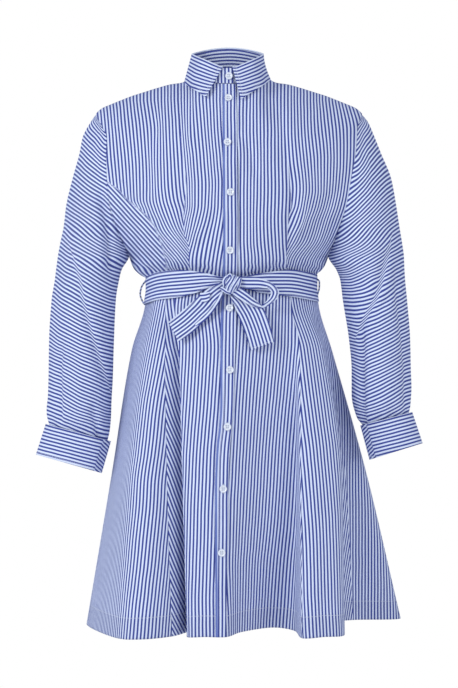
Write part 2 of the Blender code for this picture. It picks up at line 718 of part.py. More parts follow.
def knot():
    bm = bmesh.new()
    bmesh.ops.create_uvsphere(bm, u_segments=14, v_segments=9, radius=1)
    depth = -(read(BODY, "front", WAIST) + BELT_LIFT + KNOT["clearance"] + KNOT["half"][1])
    for vert in bm.verts:
        ridge = 1 + 0.07 * math.cos(5 * math.atan2(vert.co.z, vert.co.x) + 1)
        x = KNOT["centre"][0] + KNOT["half"][0] * vert.co.x * ridge
        z = KNOT["centre"][1] + KNOT["half"][2] * vert.co.z * ridge
        y = depth + KNOT["half"][1] * vert.co.y
        vert.co = placed(np.array(x), np.array(y), np.array(z)) * MM
    mesh = bpy.data.meshes.new("bow_knot")
    bm.to_mesh(mesh)
    bm.free()
    return keep(mesh, "bow_knot", SHIRTING)


# ---------------------------------------------------------------- collar
def neck_ring(turn):
    """Neckline at a turn from the middle of the front, 180 at the back, as drawn points."""
    side = np.where(np.sin(turn) < 0, -1, 1)
    across = NECK_HALF_WIDTH * np.abs(np.sin(turn))
    result = np.zeros((len(turn), 3))
    for n, (x, s, t) in enumerate(zip(across, side, turn)):
        face = -1 if math.cos(t) > 0 else 1
        height = float(neck_height(x, face))
        u = np.linspace(0, 0.6, 181)
        wide, depth = body_point(s, u, np.full_like(u, height), face, relief=False)
        y = np.interp(x, np.abs(wide), depth)
        result[n] = (s * x, y, height)
    return result


STAND = dict(turn=(0, 40, 90, 180), height=(21, 27, 36, 36), lean=(0.93, 0.92, 0.9, 0.87))
STAND_RISE = 1.6          # from the middle of the bodice's wall to the stand's lower edge
STAND_LAP = 7.0           # degrees that each end passes the middle of the front
COLLAR_LIFT = 2.8         # between the middles of the stand and of the fall at the fold
COLLAR_RISE = 1.5         # how far the fold stands above the stand
STAND_BULGE = 0.9         # the stand's faceted front stands this far before its own middle
COLLAR_BOW = 3.0          # how far the fall bows out half way down


def stand_point(turn, v, lift=0.0):
    base = neck_ring(turn)
    back = np.degrees(np.abs(np.arctan2(np.sin(turn), np.cos(turn))))
    tall = curve(STAND["turn"], STAND["height"], back)
    lean = 1 + (curve(STAND["turn"], STAND["lean"], back) - 1) * v
    grow = 1 + lift / NECK_HALF_WIDTH
    return base[:, 0] * lean * grow, base[:, 1] * lean * grow, base[:, 2] + STAND_RISE + tall * v


def stand_place(u, v):
    lap = math.radians(STAND_LAP)
    turn = -lap + u * (2 * math.pi + 2 * lap)
    return placed(*stand_point(turn, v, lift=LIFT * (u - 0.5)))


# outer edge of the collar leaf against the turn, as drawn x, real depth and drawn height
LEAF = dict(
    turn=(8, 30, 55, 90, 125, 155, 180),
    across=(37, 52, 65, 72, 64, 38, 0),
    depth=(-84, -70, -47, 2, 50, 77, 83),
    height=(-20, -13, -4, 5.6, 3, 5, 7),
)


def collar_place(u, v):
    """Collar fall from the fold at the top of the stand to its outer edge."""
    gap = math.radians(LEAF["turn"][0])
    turn = gap + u * (2 * math.pi - 2 * gap)
    side = np.where(np.sin(turn) < 0, -1, 1)
    back = np.degrees(np.abs(np.arctan2(np.sin(turn), np.cos(turn))))
    fold_x, fold_y, fold_z = stand_point(turn, np.ones_like(u), lift=COLLAR_LIFT)
    edge_x = side * curve(LEAF["turn"], LEAF["across"], back)
    edge_y = curve(LEAF["turn"], LEAF["depth"], back)
    edge_z = curve(LEAF["turn"], LEAF["height"], back)
    bow = np.sin(math.pi * v) * COLLAR_BOW
    across = fold_x + (edge_x - fold_x) * v
    depth = fold_y + (edge_y - fold_y) * v
    away = np.hypot(across, depth) + 1e-6
    across = across + bow * across / away
    depth = depth + bow * depth / away
    fold_z = fold_z + COLLAR_RISE
    return placed(across, depth, fold_z + (edge_z - fold_z) * v)


def collar_button():
    """Place and facing of the button at the middle of the stand's front."""
    front = 1 - STAND_LAP / (360 + 2 * STAND_LAP)
    point = stand_place(np.array([front]), np.array([0.5]))[0]
    point[1] -= WALL / 2 + BUTTON_GAP + STAND_BULGE
    return point, (0, -1, 0.09)


def thread_loop(name, side):
    """Thread belt loop, a cord of cotton sewn to the side seam above and below the belt."""
    data = bpy.data.curves.new(name, "CURVE")
    data.dimensions = "3D"
    data.bevel_depth = THREAD_RADIUS * MM
    data.bevel_resolution = 1
    data.use_fill_caps = True
    line = data.splines.new("POLY")
    top, low = THREAD_ENDS
    at_top = read(BODY, side_name(side), top) + THREAD_CLEARANCE
    side_rib = np.array([float(rib(f"side_{side_name(side)}"))])
    low_row = np.array([(WAIST - low) / (WAIST - RIB_VALUES[int(side_rib[0]), 8])])
    at_low = abs(skirt_point(side_rib, low_row)[0, 0]) + THREAD_CLEARANCE
    count = 14
    line.points.add(count - 1)
    for n in range(count):
        part = n / (count - 1)
        height = top + (low - top) * part
        out = at_top + (at_low - at_top) * part + THREAD_ARC * math.sin(math.pi * part) ** 0.7
        point = placed(np.array(side * out), np.array(0.0), np.array(height)) * MM
        line.points[n].co = (*point, 1)
    obj = bpy.data.objects.new(name, data)
    dress.objects.link(obj)
    data.materials.append(new_material(name + "_thread", BUTTON_WHITE, 0.9))
    return obj


# ---------------------------------------------------------------- making the dress
clear_scene()
dress = bpy.data.collections.new("shirt_dress")
bpy.context.scene.collection.children.link(dress)

sheet("bodice_front_right", 18, BODICE_ROWS, front_panel(-1))
sheet("bodice_front_left", 18, BODICE_ROWS, front_panel(1))
sheet("bodice_back", 28, BODICE_ROWS, back_panel)
sheet("sleeve_right", 20, 17, sleeve(-1), SHIRTING, join=0.6)
sheet("sleeve_left", 20, 17, sleeve(1), SHIRTING, join=0.6)
sheet("cuff_right", 22, 2, cuff(-1), SHIRTING)
sheet("cuff_left", 22, 2, cuff(1), SHIRTING)

sheet("skirt_front_right", 8, SKIRT_ROWS, skirt_panel(rib("gore_seam_right"), None))
sheet("skirt_side_right", 6, SKIRT_ROWS, skirt_panel(rib("side_right"), rib("gore_seam_right")))
sheet("skirt_back", 22, SKIRT_ROWS, skirt_panel(rib("side_left"), rib("side_right")))
sheet("skirt_side_left", 12, SKIRT_ROWS, skirt_panel(rib("pleat_edge_left"), rib("side_left"), PLEAT_GAP))
sheet("skirt_front_left", 8, SKIRT_ROWS, skirt_panel(None, rib("pleat_edge_left"), end_gap=PLEAT_GAP))

sheet("placket_bodice", 2, BODICE_ROWS, placket(on_bodice))
sheet("placket_skirt", 2, SKIRT_ROWS, placket(on_skirt))

sheet("collar_stand", 30, 1, stand_place)
sheet("collar_fall", 30, 4, collar_place)

sheet("belt_band", 44, 2, belt, SHIRTING, wall=BELT_WALL)
sheet("bow_loop", 3, 16, ribbon(BOW_LOOP), SHIRTING, wall=BELT_WALL)
sheet("bow_tail_right", 3, 8, ribbon(TAIL_RIGHT), SHIRTING, wall=BELT_WALL)
sheet("bow_tail_left", 3, 8, ribbon(TAIL_LEFT), SHIRTING, wall=BELT_WALL)
knot()

set_button("button_01", *collar_button())
for number, (across, height) in enumerate(BUTTONS, 2):
    button(f"button_{number:02d}", across, height)
cuff_button("cuff_button_right", -1)
cuff_button("cuff_button_left", 1)
thread_loop("belt_loop_right", -1)
thread_loop("belt_loop_left", 1)
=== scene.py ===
"""Shirt dress of blue and white striped cotton poplin with a tie belt, in its hollow worn form.

Tables are in millimetres, in an elevation drawn on the plane of the side seams from
DRAWING_DISTANCE in front; placed() brings a drawn point and its real depth into the model.
+X is the wearer's left, -Y the front, +Z up. The "cloth" map of each piece holds its place on
the flat cloth in metres, across the stripes and along them; the "sewing" map holds the distance
from the piece's edges, which is what its stitching follows.
"""

import math

import bmesh
import bpy
import numpy as np
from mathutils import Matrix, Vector


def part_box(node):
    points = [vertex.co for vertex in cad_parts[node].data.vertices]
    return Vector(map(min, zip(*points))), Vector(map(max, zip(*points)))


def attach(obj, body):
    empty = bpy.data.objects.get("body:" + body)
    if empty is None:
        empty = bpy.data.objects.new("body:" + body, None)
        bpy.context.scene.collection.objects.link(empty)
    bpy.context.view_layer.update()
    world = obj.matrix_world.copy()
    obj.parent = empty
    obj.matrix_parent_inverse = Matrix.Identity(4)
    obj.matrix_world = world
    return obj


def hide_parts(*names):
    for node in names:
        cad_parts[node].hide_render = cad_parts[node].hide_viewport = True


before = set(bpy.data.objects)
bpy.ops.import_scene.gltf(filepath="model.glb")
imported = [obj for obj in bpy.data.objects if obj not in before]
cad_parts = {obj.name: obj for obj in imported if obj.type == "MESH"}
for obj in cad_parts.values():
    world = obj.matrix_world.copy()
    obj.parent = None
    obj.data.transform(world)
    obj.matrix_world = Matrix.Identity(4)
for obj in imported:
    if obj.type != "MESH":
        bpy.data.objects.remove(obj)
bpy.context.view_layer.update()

MM = 0.001
CLOTH = 0.6               # cloth wall, with its turned edges
BELTING = 1.3             # two layers of cloth turned into a belt
COLLAR_CLOTH = 1.0        # two layers of cloth with an interlining
SEAM = 0.15               # each panel stops this far short of its seam
LIFT = 1.9                # between the middles of two layers that lie on each other
LAP = 2.5                 # the right front reaches this far under the placket
UNDERLAP = 4.0            # the left front starts this far from the placket's sewn edge
DRAWING_DISTANCE = 3000.0
DRAWING_LEVEL = -411.0
STRIPE = 5.5              # one blue and one white stripe

BUTTON_DIAMETER = 11.5
BUTTON_THICKNESS = 2.4
BUTTONHOLE_SINK = 0.28    # below the foot of its button
BUTTON_LEAN = 0.09        # of the button on the collar stand
LOOP_THREAD_RADIUS = 1.3
THREAD_LOOP_RIGHT = ((-131, -310), (-138.5, -322), (-140.3, -332), (-136.5, -344), (-130.5, -351))
THREAD_LOOP_LEFT = ((138, -307), (142.8, -313), (142.6, -322), (139.6, -334), (137, -346))
BODICE_WIDTH = 220.0      # of half a front, along the cloth
SKIRT_LENGTH = 530.0
SLEEVE_TOP = -50.0
SLEEVE_ROUND = 200.0
CUFF_TILT_REACH = 90.0    # the rows of the sleeve tilt with the cuff this far above it
SHOULDER_ROLL = 90.0      # the cloth rounds over the shoulder within this height
RIDGE_DEPTH = 4.0         # of the shoulder seam, behind the side seams
WAIST = -322.0
UNDERARM = -272.0
BELT_ZONE = -294.0        # below this the bodice keeps to the line of the belt
ABOVE_BELT = 0.5
WAIST_HALF = 138.0
NECK_HALF_WIDTH = 62.0
NECK_SIDE_HEIGHT = 9.0
BACK_NECK_RISE = 9.0

# height: front and back depth of the body's section, then its half widths
BODY = dict(
    height=(-349, -322, -310, -303, -294, -272, -250, -226, -193, -150, -110, -50, 0, 40),
    front=(94.5, 94, 94.5, 104, 112, 119, 123, 125, 124, 118, 108, 90, 71, 58),
    back=(73.5, 73, 73.5, 79, 84, 90, 95, 99, 101, 101, 97, 84, 68, 56),
    right=(130.5, 130, 130.5, 141, 150, 160, 180, 196, 212, 228, 237, 243, 245, 245),
    left=(138.5, 138, 138.5, 146, 153, 164, 181, 196, 212, 228, 237, 243, 245, 245),
)

# outer edge of the front and back panels: armhole seam above, side seam below
PANEL_EDGE = dict(
    height=(-349, -322, -310, -303, -294, -272, -250, -226, -193, -150, -110, -85, -70, -54, -50),
    right=(130.5, 130, 130.5, 141, 150, 158, 168, 178, 188, 193, 194, 193, 199, 208, 210),
    left=(138.5, 138, 138.5, 146, 151, 157, 166, 174, 185, 193, 200, 202, 203, 208, 210),
)

# top of the shoulder against the distance from the middle; inside the neck it only shapes the roll
SHOULDER = dict(
    across=(0, 40, 62, 75, 92, 114, 133, 152, 169, 185, 199, 207, 212, 260),
    height=(110, 58, 9, 1.5, -1, -7, -13, -19, -25.5, -32, -38, -44, -50, -110),
)

# sections of the sleeves, from the shoulder to the cuff
SLEEVE_RIGHT = dict(
    height=(-553, -533, -500, -468, -405, -341, -310, -294, -272, -250, -226, -193, -150, -110,
            -85, -60, -50),
    outer=(285, 289, 286, 285, 284, 280, 275, 273, 270, 266, 261, 257, 247, 236, 231, 218, 211),
    inner=(191, 187, 186, 184, 182, 179, 174, 170, 158, 157, 158, 143, 133, 132, 132, 146, 168),
    depth=(25.5, 40, 50, 54, 56, 58, 60, 61, 62, 66, 68, 68, 66, 60, 50, 28, 12),
    middle=(-28, -25, -19, -15, -8, -3, 0, 0, 0, 0, 0, 0, 2, 3, 3, 4, 4),
)
SLEEVE_LEFT = dict(
    height=(-531, -515, -484, -452, -405, -341, -310, -294, -272, -250, -226, -193, -150, -110,
            -85, -60, -50),
    outer=(285, 288, 288, 287, 286, 281, 278, 277, 276, 273, 269, 264, 256, 240, 230, 219, 211),
    inner=(210, 200, 194, 194, 190, 180, 176, 170, 157, 157, 157, 146, 136, 134, 134, 148, 168),
    depth=(26.5, 40, 50, 54, 56, 58, 60, 61, 62, 66, 68, 68, 66, 60, 50, 28, 12),
    middle=(-30, -27, -20, -15, -8, -3, 0, 0, 0, 0, 0, 0, 2, 3, 3, 4, 4),
)

# cuffs: both ends of the top and of the lower edge in elevation, half depth and middle
CUFF_RIGHT = dict(
    top_outer=(-288, -536), top_inner=(-186, -563),
    low_outer=(-304, -586), low_inner=(-201, -615), depth=30, middle=-28,
)
CUFF_LEFT = dict(
    top_outer=(288, -517), top_inner=(207, -538),
    low_outer=(305, -568), low_inner=(222, -594), depth=32, middle=-30,
)
CUFF_START = math.radians(205)
CUFF_ROUND = math.radians(395)
CUFF_BUTTON = math.radians(230)
CUFF_SEAM = 0.03          # part of the cuff's height that the sleeve's seam takes
CUFF_LEAN = 4.0           # the lower edge of the cuff lies this far ahead of the upper one
CUFF_LAP = 0.05           # the outer end lies outside the inner one by this part of the width
CUFF_WAVE = 0.006
CUFF_TURN = math.radians(402)     # where the turned end of the cuff meets its front
CUFF_TURN_STEP = (0.1, 0.06)
CUFF_TURN_DEPTH = 3.5
CUFF_TURN_SLOPE = 0.4     # fall of the stripes towards the cuff's edge

# upright folds of the skirt, from the middle of the front round by the wearer's left:
# x at the waist, at 420 and 620 below the neck and at the hem, depth at the same places, hem height
SKIRT_RIBS = (
    ("front_middle", 0, -1, -2, -4, -93.5, -114, -134, -132, -874),
    ("front_left", 24, 25, 24, 20, -92, -111, -124, -103, -866),
    ("valley_front_left", 61, 65, 65, 68, -84, -103, -104, -66, -859),
    ("step_left", 87, 98, 104, 103, -72.5, -92, -93, -72, -864),
    ("pleat_edge_left", 96, 112, 114, 116, -67, -95, -121, -141, -876),
    ("lobe_left", 111, 132, 147, 150, -55.5, -86, -119, -140, -874),
    ("lobe_edge_left", 121, 148, 178, 182, -44.5, -70, -96, -112, -871),
    ("valley_side_left", 127, 147, 170, 174, -36.5, -44, -30, 0, -852),
    ("side_front_left", 132, 153, 184, 196, -27, -22, 0, 52, -847),
    ("side_left", 138, 162, 218, 270, 0, 5, 30, 85, -845),
    ("back_side_left", 122, 147, 191, 232, 33.5, 60, 95, 148, -833),
    ("back_valley_left", 100, 122, 144, 160, 50, 82, 96, 112, -838),
    ("back_fold_left", 75, 92, 110, 124, 61, 104, 142, 186, -829),
    ("back_hollow_left", 38, 46, 53, 62, 69.5, 106, 122, 130, -836),
    ("back_middle", 0, 1, 2, 4, 72.5, 116, 156, 192, -828),
    ("back_hollow_right", -36, -43, -49, -55, 70, 106, 124, 134, -835),
    ("back_fold_right", -71, -87, -103, -116, 61, 102, 145, 186, -829),
    ("back_valley_right", -99, -121, -144, -163, 48.5, 78, 96, 112, -838),
    ("back_side_right", -118.5, -143, -175, -204, 30, 46, 68, 90, -842),
    ("side_right", -129.5, -153, -185, -224, 0, -5, -8, -12, -855),
    ("lobe_side_right", -118.5, -136, -160, -180, -38.5, -65, -98, -122, -875),
    ("lobe_right", -110, -118, -131, -141, -52, -87, -122, -148, -878),
    ("gore_seam_right", -98, -101, -98, -90, -62, -91, -115, -128, -873),
    ("pleat_inner_right", -88, -73, -64, -58, -66, -84, -88, -66, -864),
    ("pleat_edge_right", -84, -79, -73.5, -66, -72, -100, -119, -124, -874),
    ("front_right", -46, -46, -42, -37, -87.5, -111, -133, -136, -874),
)
RIB_HEIGHTS = (WAIST, -352, -420, -620)
FLARE_UNDER_BELT = 1.025  # the ribs at the second of these heights against those at the waist

# placket: x of its sewn and of its free edge against height
PLACKET = dict(
    height=(-873, -640, -605, -570, -545, -500, -400, -260, -50, 0),
    sewn=(-21, -22, -21, -19, -16, -13.5, -13.5, -9, -10, -10),
    free=(-5, -1, 0, 2, 4.5, 7, 10.5, 13.5, 12, 11),
)
FRONT_HEM = -874.0
BUTTONS = ((-1, -22), (-2.4, -92), (2.4, -171), (1.6, -262.5), (1, -354),
           (1.4, -452), (-2.5, -542), (-9, -640), (-11.4, -741))

PLACKET_SWELL = dict(sewn=0.5, free=1.6)      # of its edges, between two buttons
BELT_TOP_MIDDLE = -305.0

# creases: the line of each in elevation, its depth, and its half widths on either side of the line
CREASES_RIGHT = (
    ("dart_tuck", ((-68, -165), (-71, -215), (-71, -245), (-64, -262), (-64, -290)), 6.5, 3.5, 10),
    ("side_drag", ((-157, -186), (-137, -202), (-118, -225), (-106, -255), (-98, -290)),
     5.5, 5, 14),
    ("shoulder_drag", ((-104, -54), (-117, -89), (-130, -146), (-142, -190)), 4.5, 6, 15),
    ("front_tuck", ((-17, -193), (-27, -234), (-46, -262)), 4.0, 5, 11),
    ("side_break", ((-191, -157), (-167, -158), (-160, -168), (-152, -190)), 5.0, 5, 11),
    ("underarm_hollow", ((-160, -256), (-142, -292)), 4.5, 8, 10),
)
CREASES_LEFT = (
    ("dart_tuck", ((94, -130), (97, -180), (98, -195), (93, -217), (91, -288)), 6.5, 10, 3.5),
    ("shoulder_drag", ((65, -20), (82, -54), (88, -89), (93, -125)), 4.5, 7, 15),
    ("front_tuck", ((9, -73), (17, -86), (30, -97), (36, -112), (43, -145)), 4.5, 3.5, 9),
    ("placket_fold", ((14.5, -120), (15.5, -180), (16, -262)), 6.0, 2.5, 3.5),
    ("side_drag", ((168, -182), (150, -210), (128, -252), (114, -292)), 4.5, 9, 14),
    ("side_break", ((190, -158), (168, -172), (150, -198)), 3.0, 7, 11),
    ("waist_drag", ((128, -228), (108, -268), (100, -290)), 3.0, 6, 9),
)
CREASES_SLEEVE_RIGHT = (
    ("head_crease", ((-210, -104), (-205, -176), (-202, -207)), 2.5, 6, 8),
    ("underarm_fold", ((-203, -165), (-197, -200), (-190, -240), (-186, -296)), 9.0, 6, 7),
    ("elbow_drag", ((-245, -278), (-235, -310), (-231, -341), (-215, -401), (-191, -476)),
     5.0, 6, 9),
    ("cuff_pleat", ((-264, -400), (-268, -446), (-267, -540)), 6.5, 4, 7),
    ("wrist_drag", ((-215, -505), (-207, -531), (-202, -560)), 7.0, 4, 9),
)
CREASES_SLEEVE_LEFT = (
    ("head_crease", ((209, -50), (213, -89), (208, -112)), 2.2, 6, 8),
    ("elbow_drag", ((253, -256), (245, -291), (239, -318), (231, -341), (220, -360), (207, -388)),
     5.0, 6, 9),
    ("wrist_line", ((207, -372), (211, -400), (211, -470), (212, -534)), 6.0, 4, 8),
    ("outer_drag", ((264, -290), (268, -341), (276, -400), (281, -450), (282, -512)), 6.5, 5, 6),
    ("elbow_fold", ((262, -318), (244, -352), (226, -372)), 2.5, 5, 8),
)
# parts of its line over which a crease sets in and dies away, and the roundness of its section
CREASE_START = (-0.12, 0.3)
CREASE_END = (0.9, 1.12)
CREASE_ROUNDNESS = 1.7
BACK_CREASES = 0.7        # depth of the creases behind the sleeve, against those in front
CREASE_TURN = 1.6         # how fast they die away at the sleeve's sides
SLEEVE_HEAD = (-60, -90)  # smooth above these heights, creased below
SLEEVE_DRAW = 1.3
BEHIND_BELT = (-312, -296)        # the bodice is smooth where the belt holds it
GATHERS = 14
GATHER_DEPTH = 1.6
GATHER_FOOT = -300.0
GATHER_HEIGHT = 30.0
GATHER_START = (0.2, 0.45)        # parts of a panel's width
GATHER_THROW = 1.5        # of the stripes from side to side
GATHER_THROW_HEIGHTS = (-298, -272)
GATHER_THROW_START = (14, 40)
CUFF_PLEATS = 5
CUFF_PLEAT_DEPTH = 2.2
CUFF_PLEAT_HEIGHT = 45.0

# stripes of the fronts: counted stripes, and where each runs at the heights on the left
RIGHT_FRONT_OUTER = dict(
    stripe=(0, 4, 8, 11, 14, 17, 20, 22),
    runs={
        -26: (-196, -175, -153, -137, -120, -103.5, -88.5, -77.5),
        -73: (-191.5, -171, -148, -131, -114, -101.5, -85.5, -74.5),
        -120: (-188.5, -166, -144, -128, -115, -100, -83, -71),
        -160: (-184, -163, -143, -126.5, -114, -98.5, -80, -69),
        -183: (-180, -161, -142, -127, -112, -95.3, -77.4, -66),
        -199: (-171, -152, -136, -122.6, -107.6, -90.4, -73.3, -61),
        -215: (-165, -148, -131.8, -115.7, -101.3, -85.2, -70.8, -58),
        -231: (-155, -138, -121.8, -109.3, -93, -79.2, -66, -55),
        -247: (-143, -127, -110.8, -97.2, -80.9, -68, -55, -45),
        -262: (-133, -117, -100.8, -83.6, -69, -56, -43, -33),
        -278: (-121, -105, -87, -71, -56, -42, -30, -22),
        -297: (-112, -96, -77, -60, -45, -32, -20, -12),
    },
    fold=dict(height=(-297, -290, -255, -225, -202, -186, -157, -150),
              across=(-97, -98, -106, -118, -137, -157, -190, -260)),
)
FAN_SLOPE = 0.93          # below the fold the stripes slope down from the armhole
FAN_PITCH = 7.3           # of a pair of stripes there, in elevation
RIGHT_FRONT_INNER = dict(
    stripe=(22, 25, 27, 29, 32, 36),
    runs={
        -26: (-77.5, -63, -54.5, -43.5, -27, -6),
        -73: (-74.5, -63, -51.5, -40, -25, -4),
        -120: (-71, -58.5, -47.5, -36, -21, 0),
        -160: (-68, -56, -45, -33.5, -18.5, 2.5),
        -191: (-67, -56, -45, -34.5, -19, 2.5),
        -215: (-71, -60, -49.5, -39, -22, 0),
        -247: (-77.5, -66, -58.5, -48.5, -28.5, -4),
        -278: (-84, -73, -65, -54, -34, -9.5),
        -297: (-85, -74, -66, -54.5, -36, -12),
    },
)
LEFT_FRONT_INNER = dict(
    stripe=(0, 3, 5, 7, 9, 11, 13, 15),
    runs={
        -26: (14.5, 31.5, 41.5, 52.5, 63, 74, 85.5, 96.5),
        -73: (14.5, 31, 42, 53, 64.5, 75.5, 85.5, 96.5),
        -120: (16.5, 32.5, 43.5, 53.5, 64.5, 76, 87, 99.5),
        -168: (16, 32, 42.5, 53.5, 65, 76.5, 88.5, 99.5),
        -215: (16, 32, 41.5, 52.5, 64, 75.5, 87, 98),
        -247: (16, 32, 42, 53.5, 65, 76.5, 87.5, 99),
        -278: (16.5, 34, 44.5, 56, 67.5, 78, 89.5, 100),
        -297: (17, 34, 45, 56, 67.5, 78, 89.5, 100),
    },
)
LEFT_FRONT_OUTER = dict(
    stripe=(13, 15, 17, 19, 21, 23, 25, 29, 33),
    runs={
        -26: (85.5, 96.5, 106, 116, 126.5, 136.5, 145.5, 166, 185),
        -73: (85.5, 96.5, 107, 117.5, 128, 139, 150, 172.5, 195.5),
        -120: (87.5, 99.5, 111, 121.5, 132.5, 143, 154, 174, 194.5),
        -168: (92.5, 104.5, 115.5, 125, 134.5, 143.5, 152.5, 170.5, 189.5),
        -191: (90, 102.5, 113, 121.5, 130.5, 140, 148.5, 166, 185),
        -215: (84, 92, 105.5, 117, 123, 132, 140.5, 158, 177),
        -247: (68, 79, 92, 102, 111.5, 121, 130.5, 147, 162.5),
        -278: (61.5, 72.5, 82, 87, 93, 101, 110, 128, 144),
        -297: (60, 71, 80.5, 84, 90, 96.5, 104.5, 121.5, 137.5),
    },
)
# line on each front where the cloth is caught into a tuck, the lower part of it only
TUCK_RIGHT = dict(height=(-297, -284, -260, -244, -215, -165, -120, -73, -26),
                  across=(-64, -64, -65, -70.5, -71, -68, -73, -76.5, -79.5))
TUCK_LEFT = dict(height=(-297, -283, -247, -217, -195, -168, -120, -73, -26),
                 across=(91, 91, 91.5, 93, 98, 96.5, 93.5, 91, 90))

# how far a stripe has drifted from the fold or seam that its zone is counted from, against height
DRIFT_SIDE = dict(
    height=(-879, -815, -768, -721, -673, -626, -578, -531, -499, -468, -413, -322),
    right=(-77, -68.5, -61, -54.5, -48, -43.5, -36, -30, -25.5, -19.5, -8.5, 8),
    left=(33, 30, 28.5, 27, 24.5, 21, 17, 11.5, 8, 4.5, -1.5, -10),
)
DRIFT_FRONT = dict(
    height=(-879, -815, -768, -721, -673, -626, -578, -531, -468, -413, -322),
    right=(4, 5, 7.5, 10, 12.5, 16, 19, 23.5, 28.5, 33, 39),
    left=(9, 9.5, 9.5, 11.5, 13.5, 15.5, 18, 20.5, 24.5, 28, 33),
)
DRIFT_PLEAT = dict(
    height=(-879, -855, -815, -768, -721, -673, -626, -578, -531, -499, -468, -436, -413, -322),
    right=(167, 155, 137, 118, 101, 84, 68, 50, 31, 21, 13, 6, 0, -14),
)
DRIFT_LOBE = dict(height=(-879, -720, -620, -520, -413, -322), left=(-4, 5, 12, 30, 50, 60))

# how far the stripes of the sleeves sag, from the outer edge (part 0) to the inner one (part 1)
SAG_RIGHT = dict(
    part=(0, 0.15, 0.3, 0.5, 0.75, 0.9, 1),
    sags={
        -539: (0, 8, 14, 22, 31, 38, 40),
        -500: (0, 7, 16, 28, 38, 46, 49),
        -436: (0, 9.5, 17.5, 29.5, 40, 45.5, 48),
        -405: (0, 12.5, 20, 31, 40.5, 46, 48),
        -357: (0, 11.5, 19.5, 31, 41.5, 48, 50),
        -310: (0, 11, 18.5, 29.5, 44.5, 52.5, 55.5),
        -278: (0, 12, 19, 30, 45, 54, 59),
        -247: (0, 12, 20, 32, 47, 58, 66),
        -215: (0, 7.5, 14.5, 24.5, 37, 45, 51),
        -183: (0, 6.5, 13, 21.5, 30.5, 36, 43),
        -152: (0, 5.5, 11.5, 19.5, 28.5, 33, 36),
        -104: (0, 5, 10.5, 17, 27, 32, 34),
        -65: (0, 5, 8.5, 13, 20, 28, 31),
    },
)
SAG_LEFT = dict(
    part=(0, 0.15, 0.3, 0.5, 0.68, 0.84, 1),
    sags={
        -523: (0, 8, 16, 25, 31, 36, 29),
        -500: (0, 9, 18, 28, 35, 41, 31),
        -468: (0, 8.5, 17, 27, 35, 42, 31),
        -436: (0, 10, 19, 29, 36, 44, 36),
        -405: (0, 11, 20, 30, 38, 46, 41),
        -373: (0, 12, 21, 31, 37, 40, 38),
        -341: (0, 12, 22, 31, 36, 38, 37),
        -310: (0, 10, 18, 26, 37, 44, 44),
        -278: (0, 9.5, 21, 35, 48, 60, 66),
        -247: (0, 10, 22, 39, 53.5, 64, 72),
        -215: (0, 9, 20, 36, 50, 62, 70),
        -183: (0, 7.5, 16.5, 31, 43, 53, 61),
        -152: (0, 5.5, 12.5, 23.5, 36, 45, 50),
        -128: (0, 5, 11, 20, 31, 40, 45),
        -104: (0, 4.5, 9.5, 16, 24, 31, 36),
        -65: (0, 4, 8, 13, 18, 22, 26),
    },
)
# the stripes drop where they cross these creases: the line, the drop and the half width of it
DROPS_RIGHT = (((-245, -278), (-235, -310), (-231, -341), (-215, -401), (-191, -476), 5.0, 3.5),)
DROPS_LEFT = (
    ((253, -256), (245, -291), (239, -318), (231, -341), (220, -360), (207, -388), 9.0, 4.5),
)
SLEEVE_LEAN = 0.915       # the sleeve's cloth slopes, so its stripes lie closer in elevation

# belt: top and lower edge in elevation against x
BELT = dict(
    across=(-136, -130, -106, -76, -52, -36, -11, 12, 45, 70, 95, 130, 142),
    top=(-309, -306, -297, -294, -296, -299, -305, -306, -300, -296, -293.5, -300, -303.5),
    low=(-350, -348, -341, -337, -331, -325, -318, -320, -329, -333, -336, -343, -345),
)
BELT_SIDE_TOP = -311.0
BELT_BACK_TOP = -304.0
BELT_BACK_LOW = -344.0
BELT_BACK_LEVEL = 100.0   # behind, it runs level within this distance of the middle
BELT_ENDS = math.radians(1.5)     # its ends stop this far on either side of the middle
BELT_FOLDS = dict(count=2.5, depth=1.8, reach=55, lean=30)
BELT_SWELL = 0.8
HIP_SLOPE = 0.16          # the skirt spreads by this much from HIP_START below the waist
HIP_START = 6.0

# ribbons of the bow: both edges (x and height), then the clearance of both from the belt
BOW_LOOP = (
    (12, -304.5, 12, -322.5, 1, 1), (30, -304.8, 30, -324, 5, 5), (46, -306, 46, -323.4, 8, 9),
    (61.6, -311.5, 58.5, -322.5, 11, 11), (73, -319.8, 64.4, -325, 11, 10),
    (79, -328.9, 66.4, -330.4, 10, 8), (77.4, -336.8, 64, -336.8, 8, 6),
    (68.5, -346, 58, -344.7, 6.5, 5), (55, -353.6, 51.8, -350, 6, 5),
    (49.5, -354.4, 47.5, -346.5, 6, 5), (36, -351, 40, -340, 6, 5.5),
    (20, -342, 29, -329.5, 6, 5.5), (6, -333.5, 20, -322.5, 5.5, 4.5), (-3, -327, 14, -320, 4, 4),
)
TAIL_RIGHT = (
    (-4, -309, -3, -325, 0.5, 0.5), (-35, -325, -18, -345, 4, 4), (-55, -342, -33, -366, 6, 6),
    (-76, -360, -56, -391, 6, 6), (-96, -377, -80, -407, 5, 5),
)
TAIL_LEFT = (
    (0, -330, 17, -329, 0, 0), (9, -352, 44, -344, 1.5, 1), (19, -377, 58, -362, 4, 4),
    (28, -400, 66, -386, 5, 5), (35, -421, 71.5, -407.5, 5, 5),
)
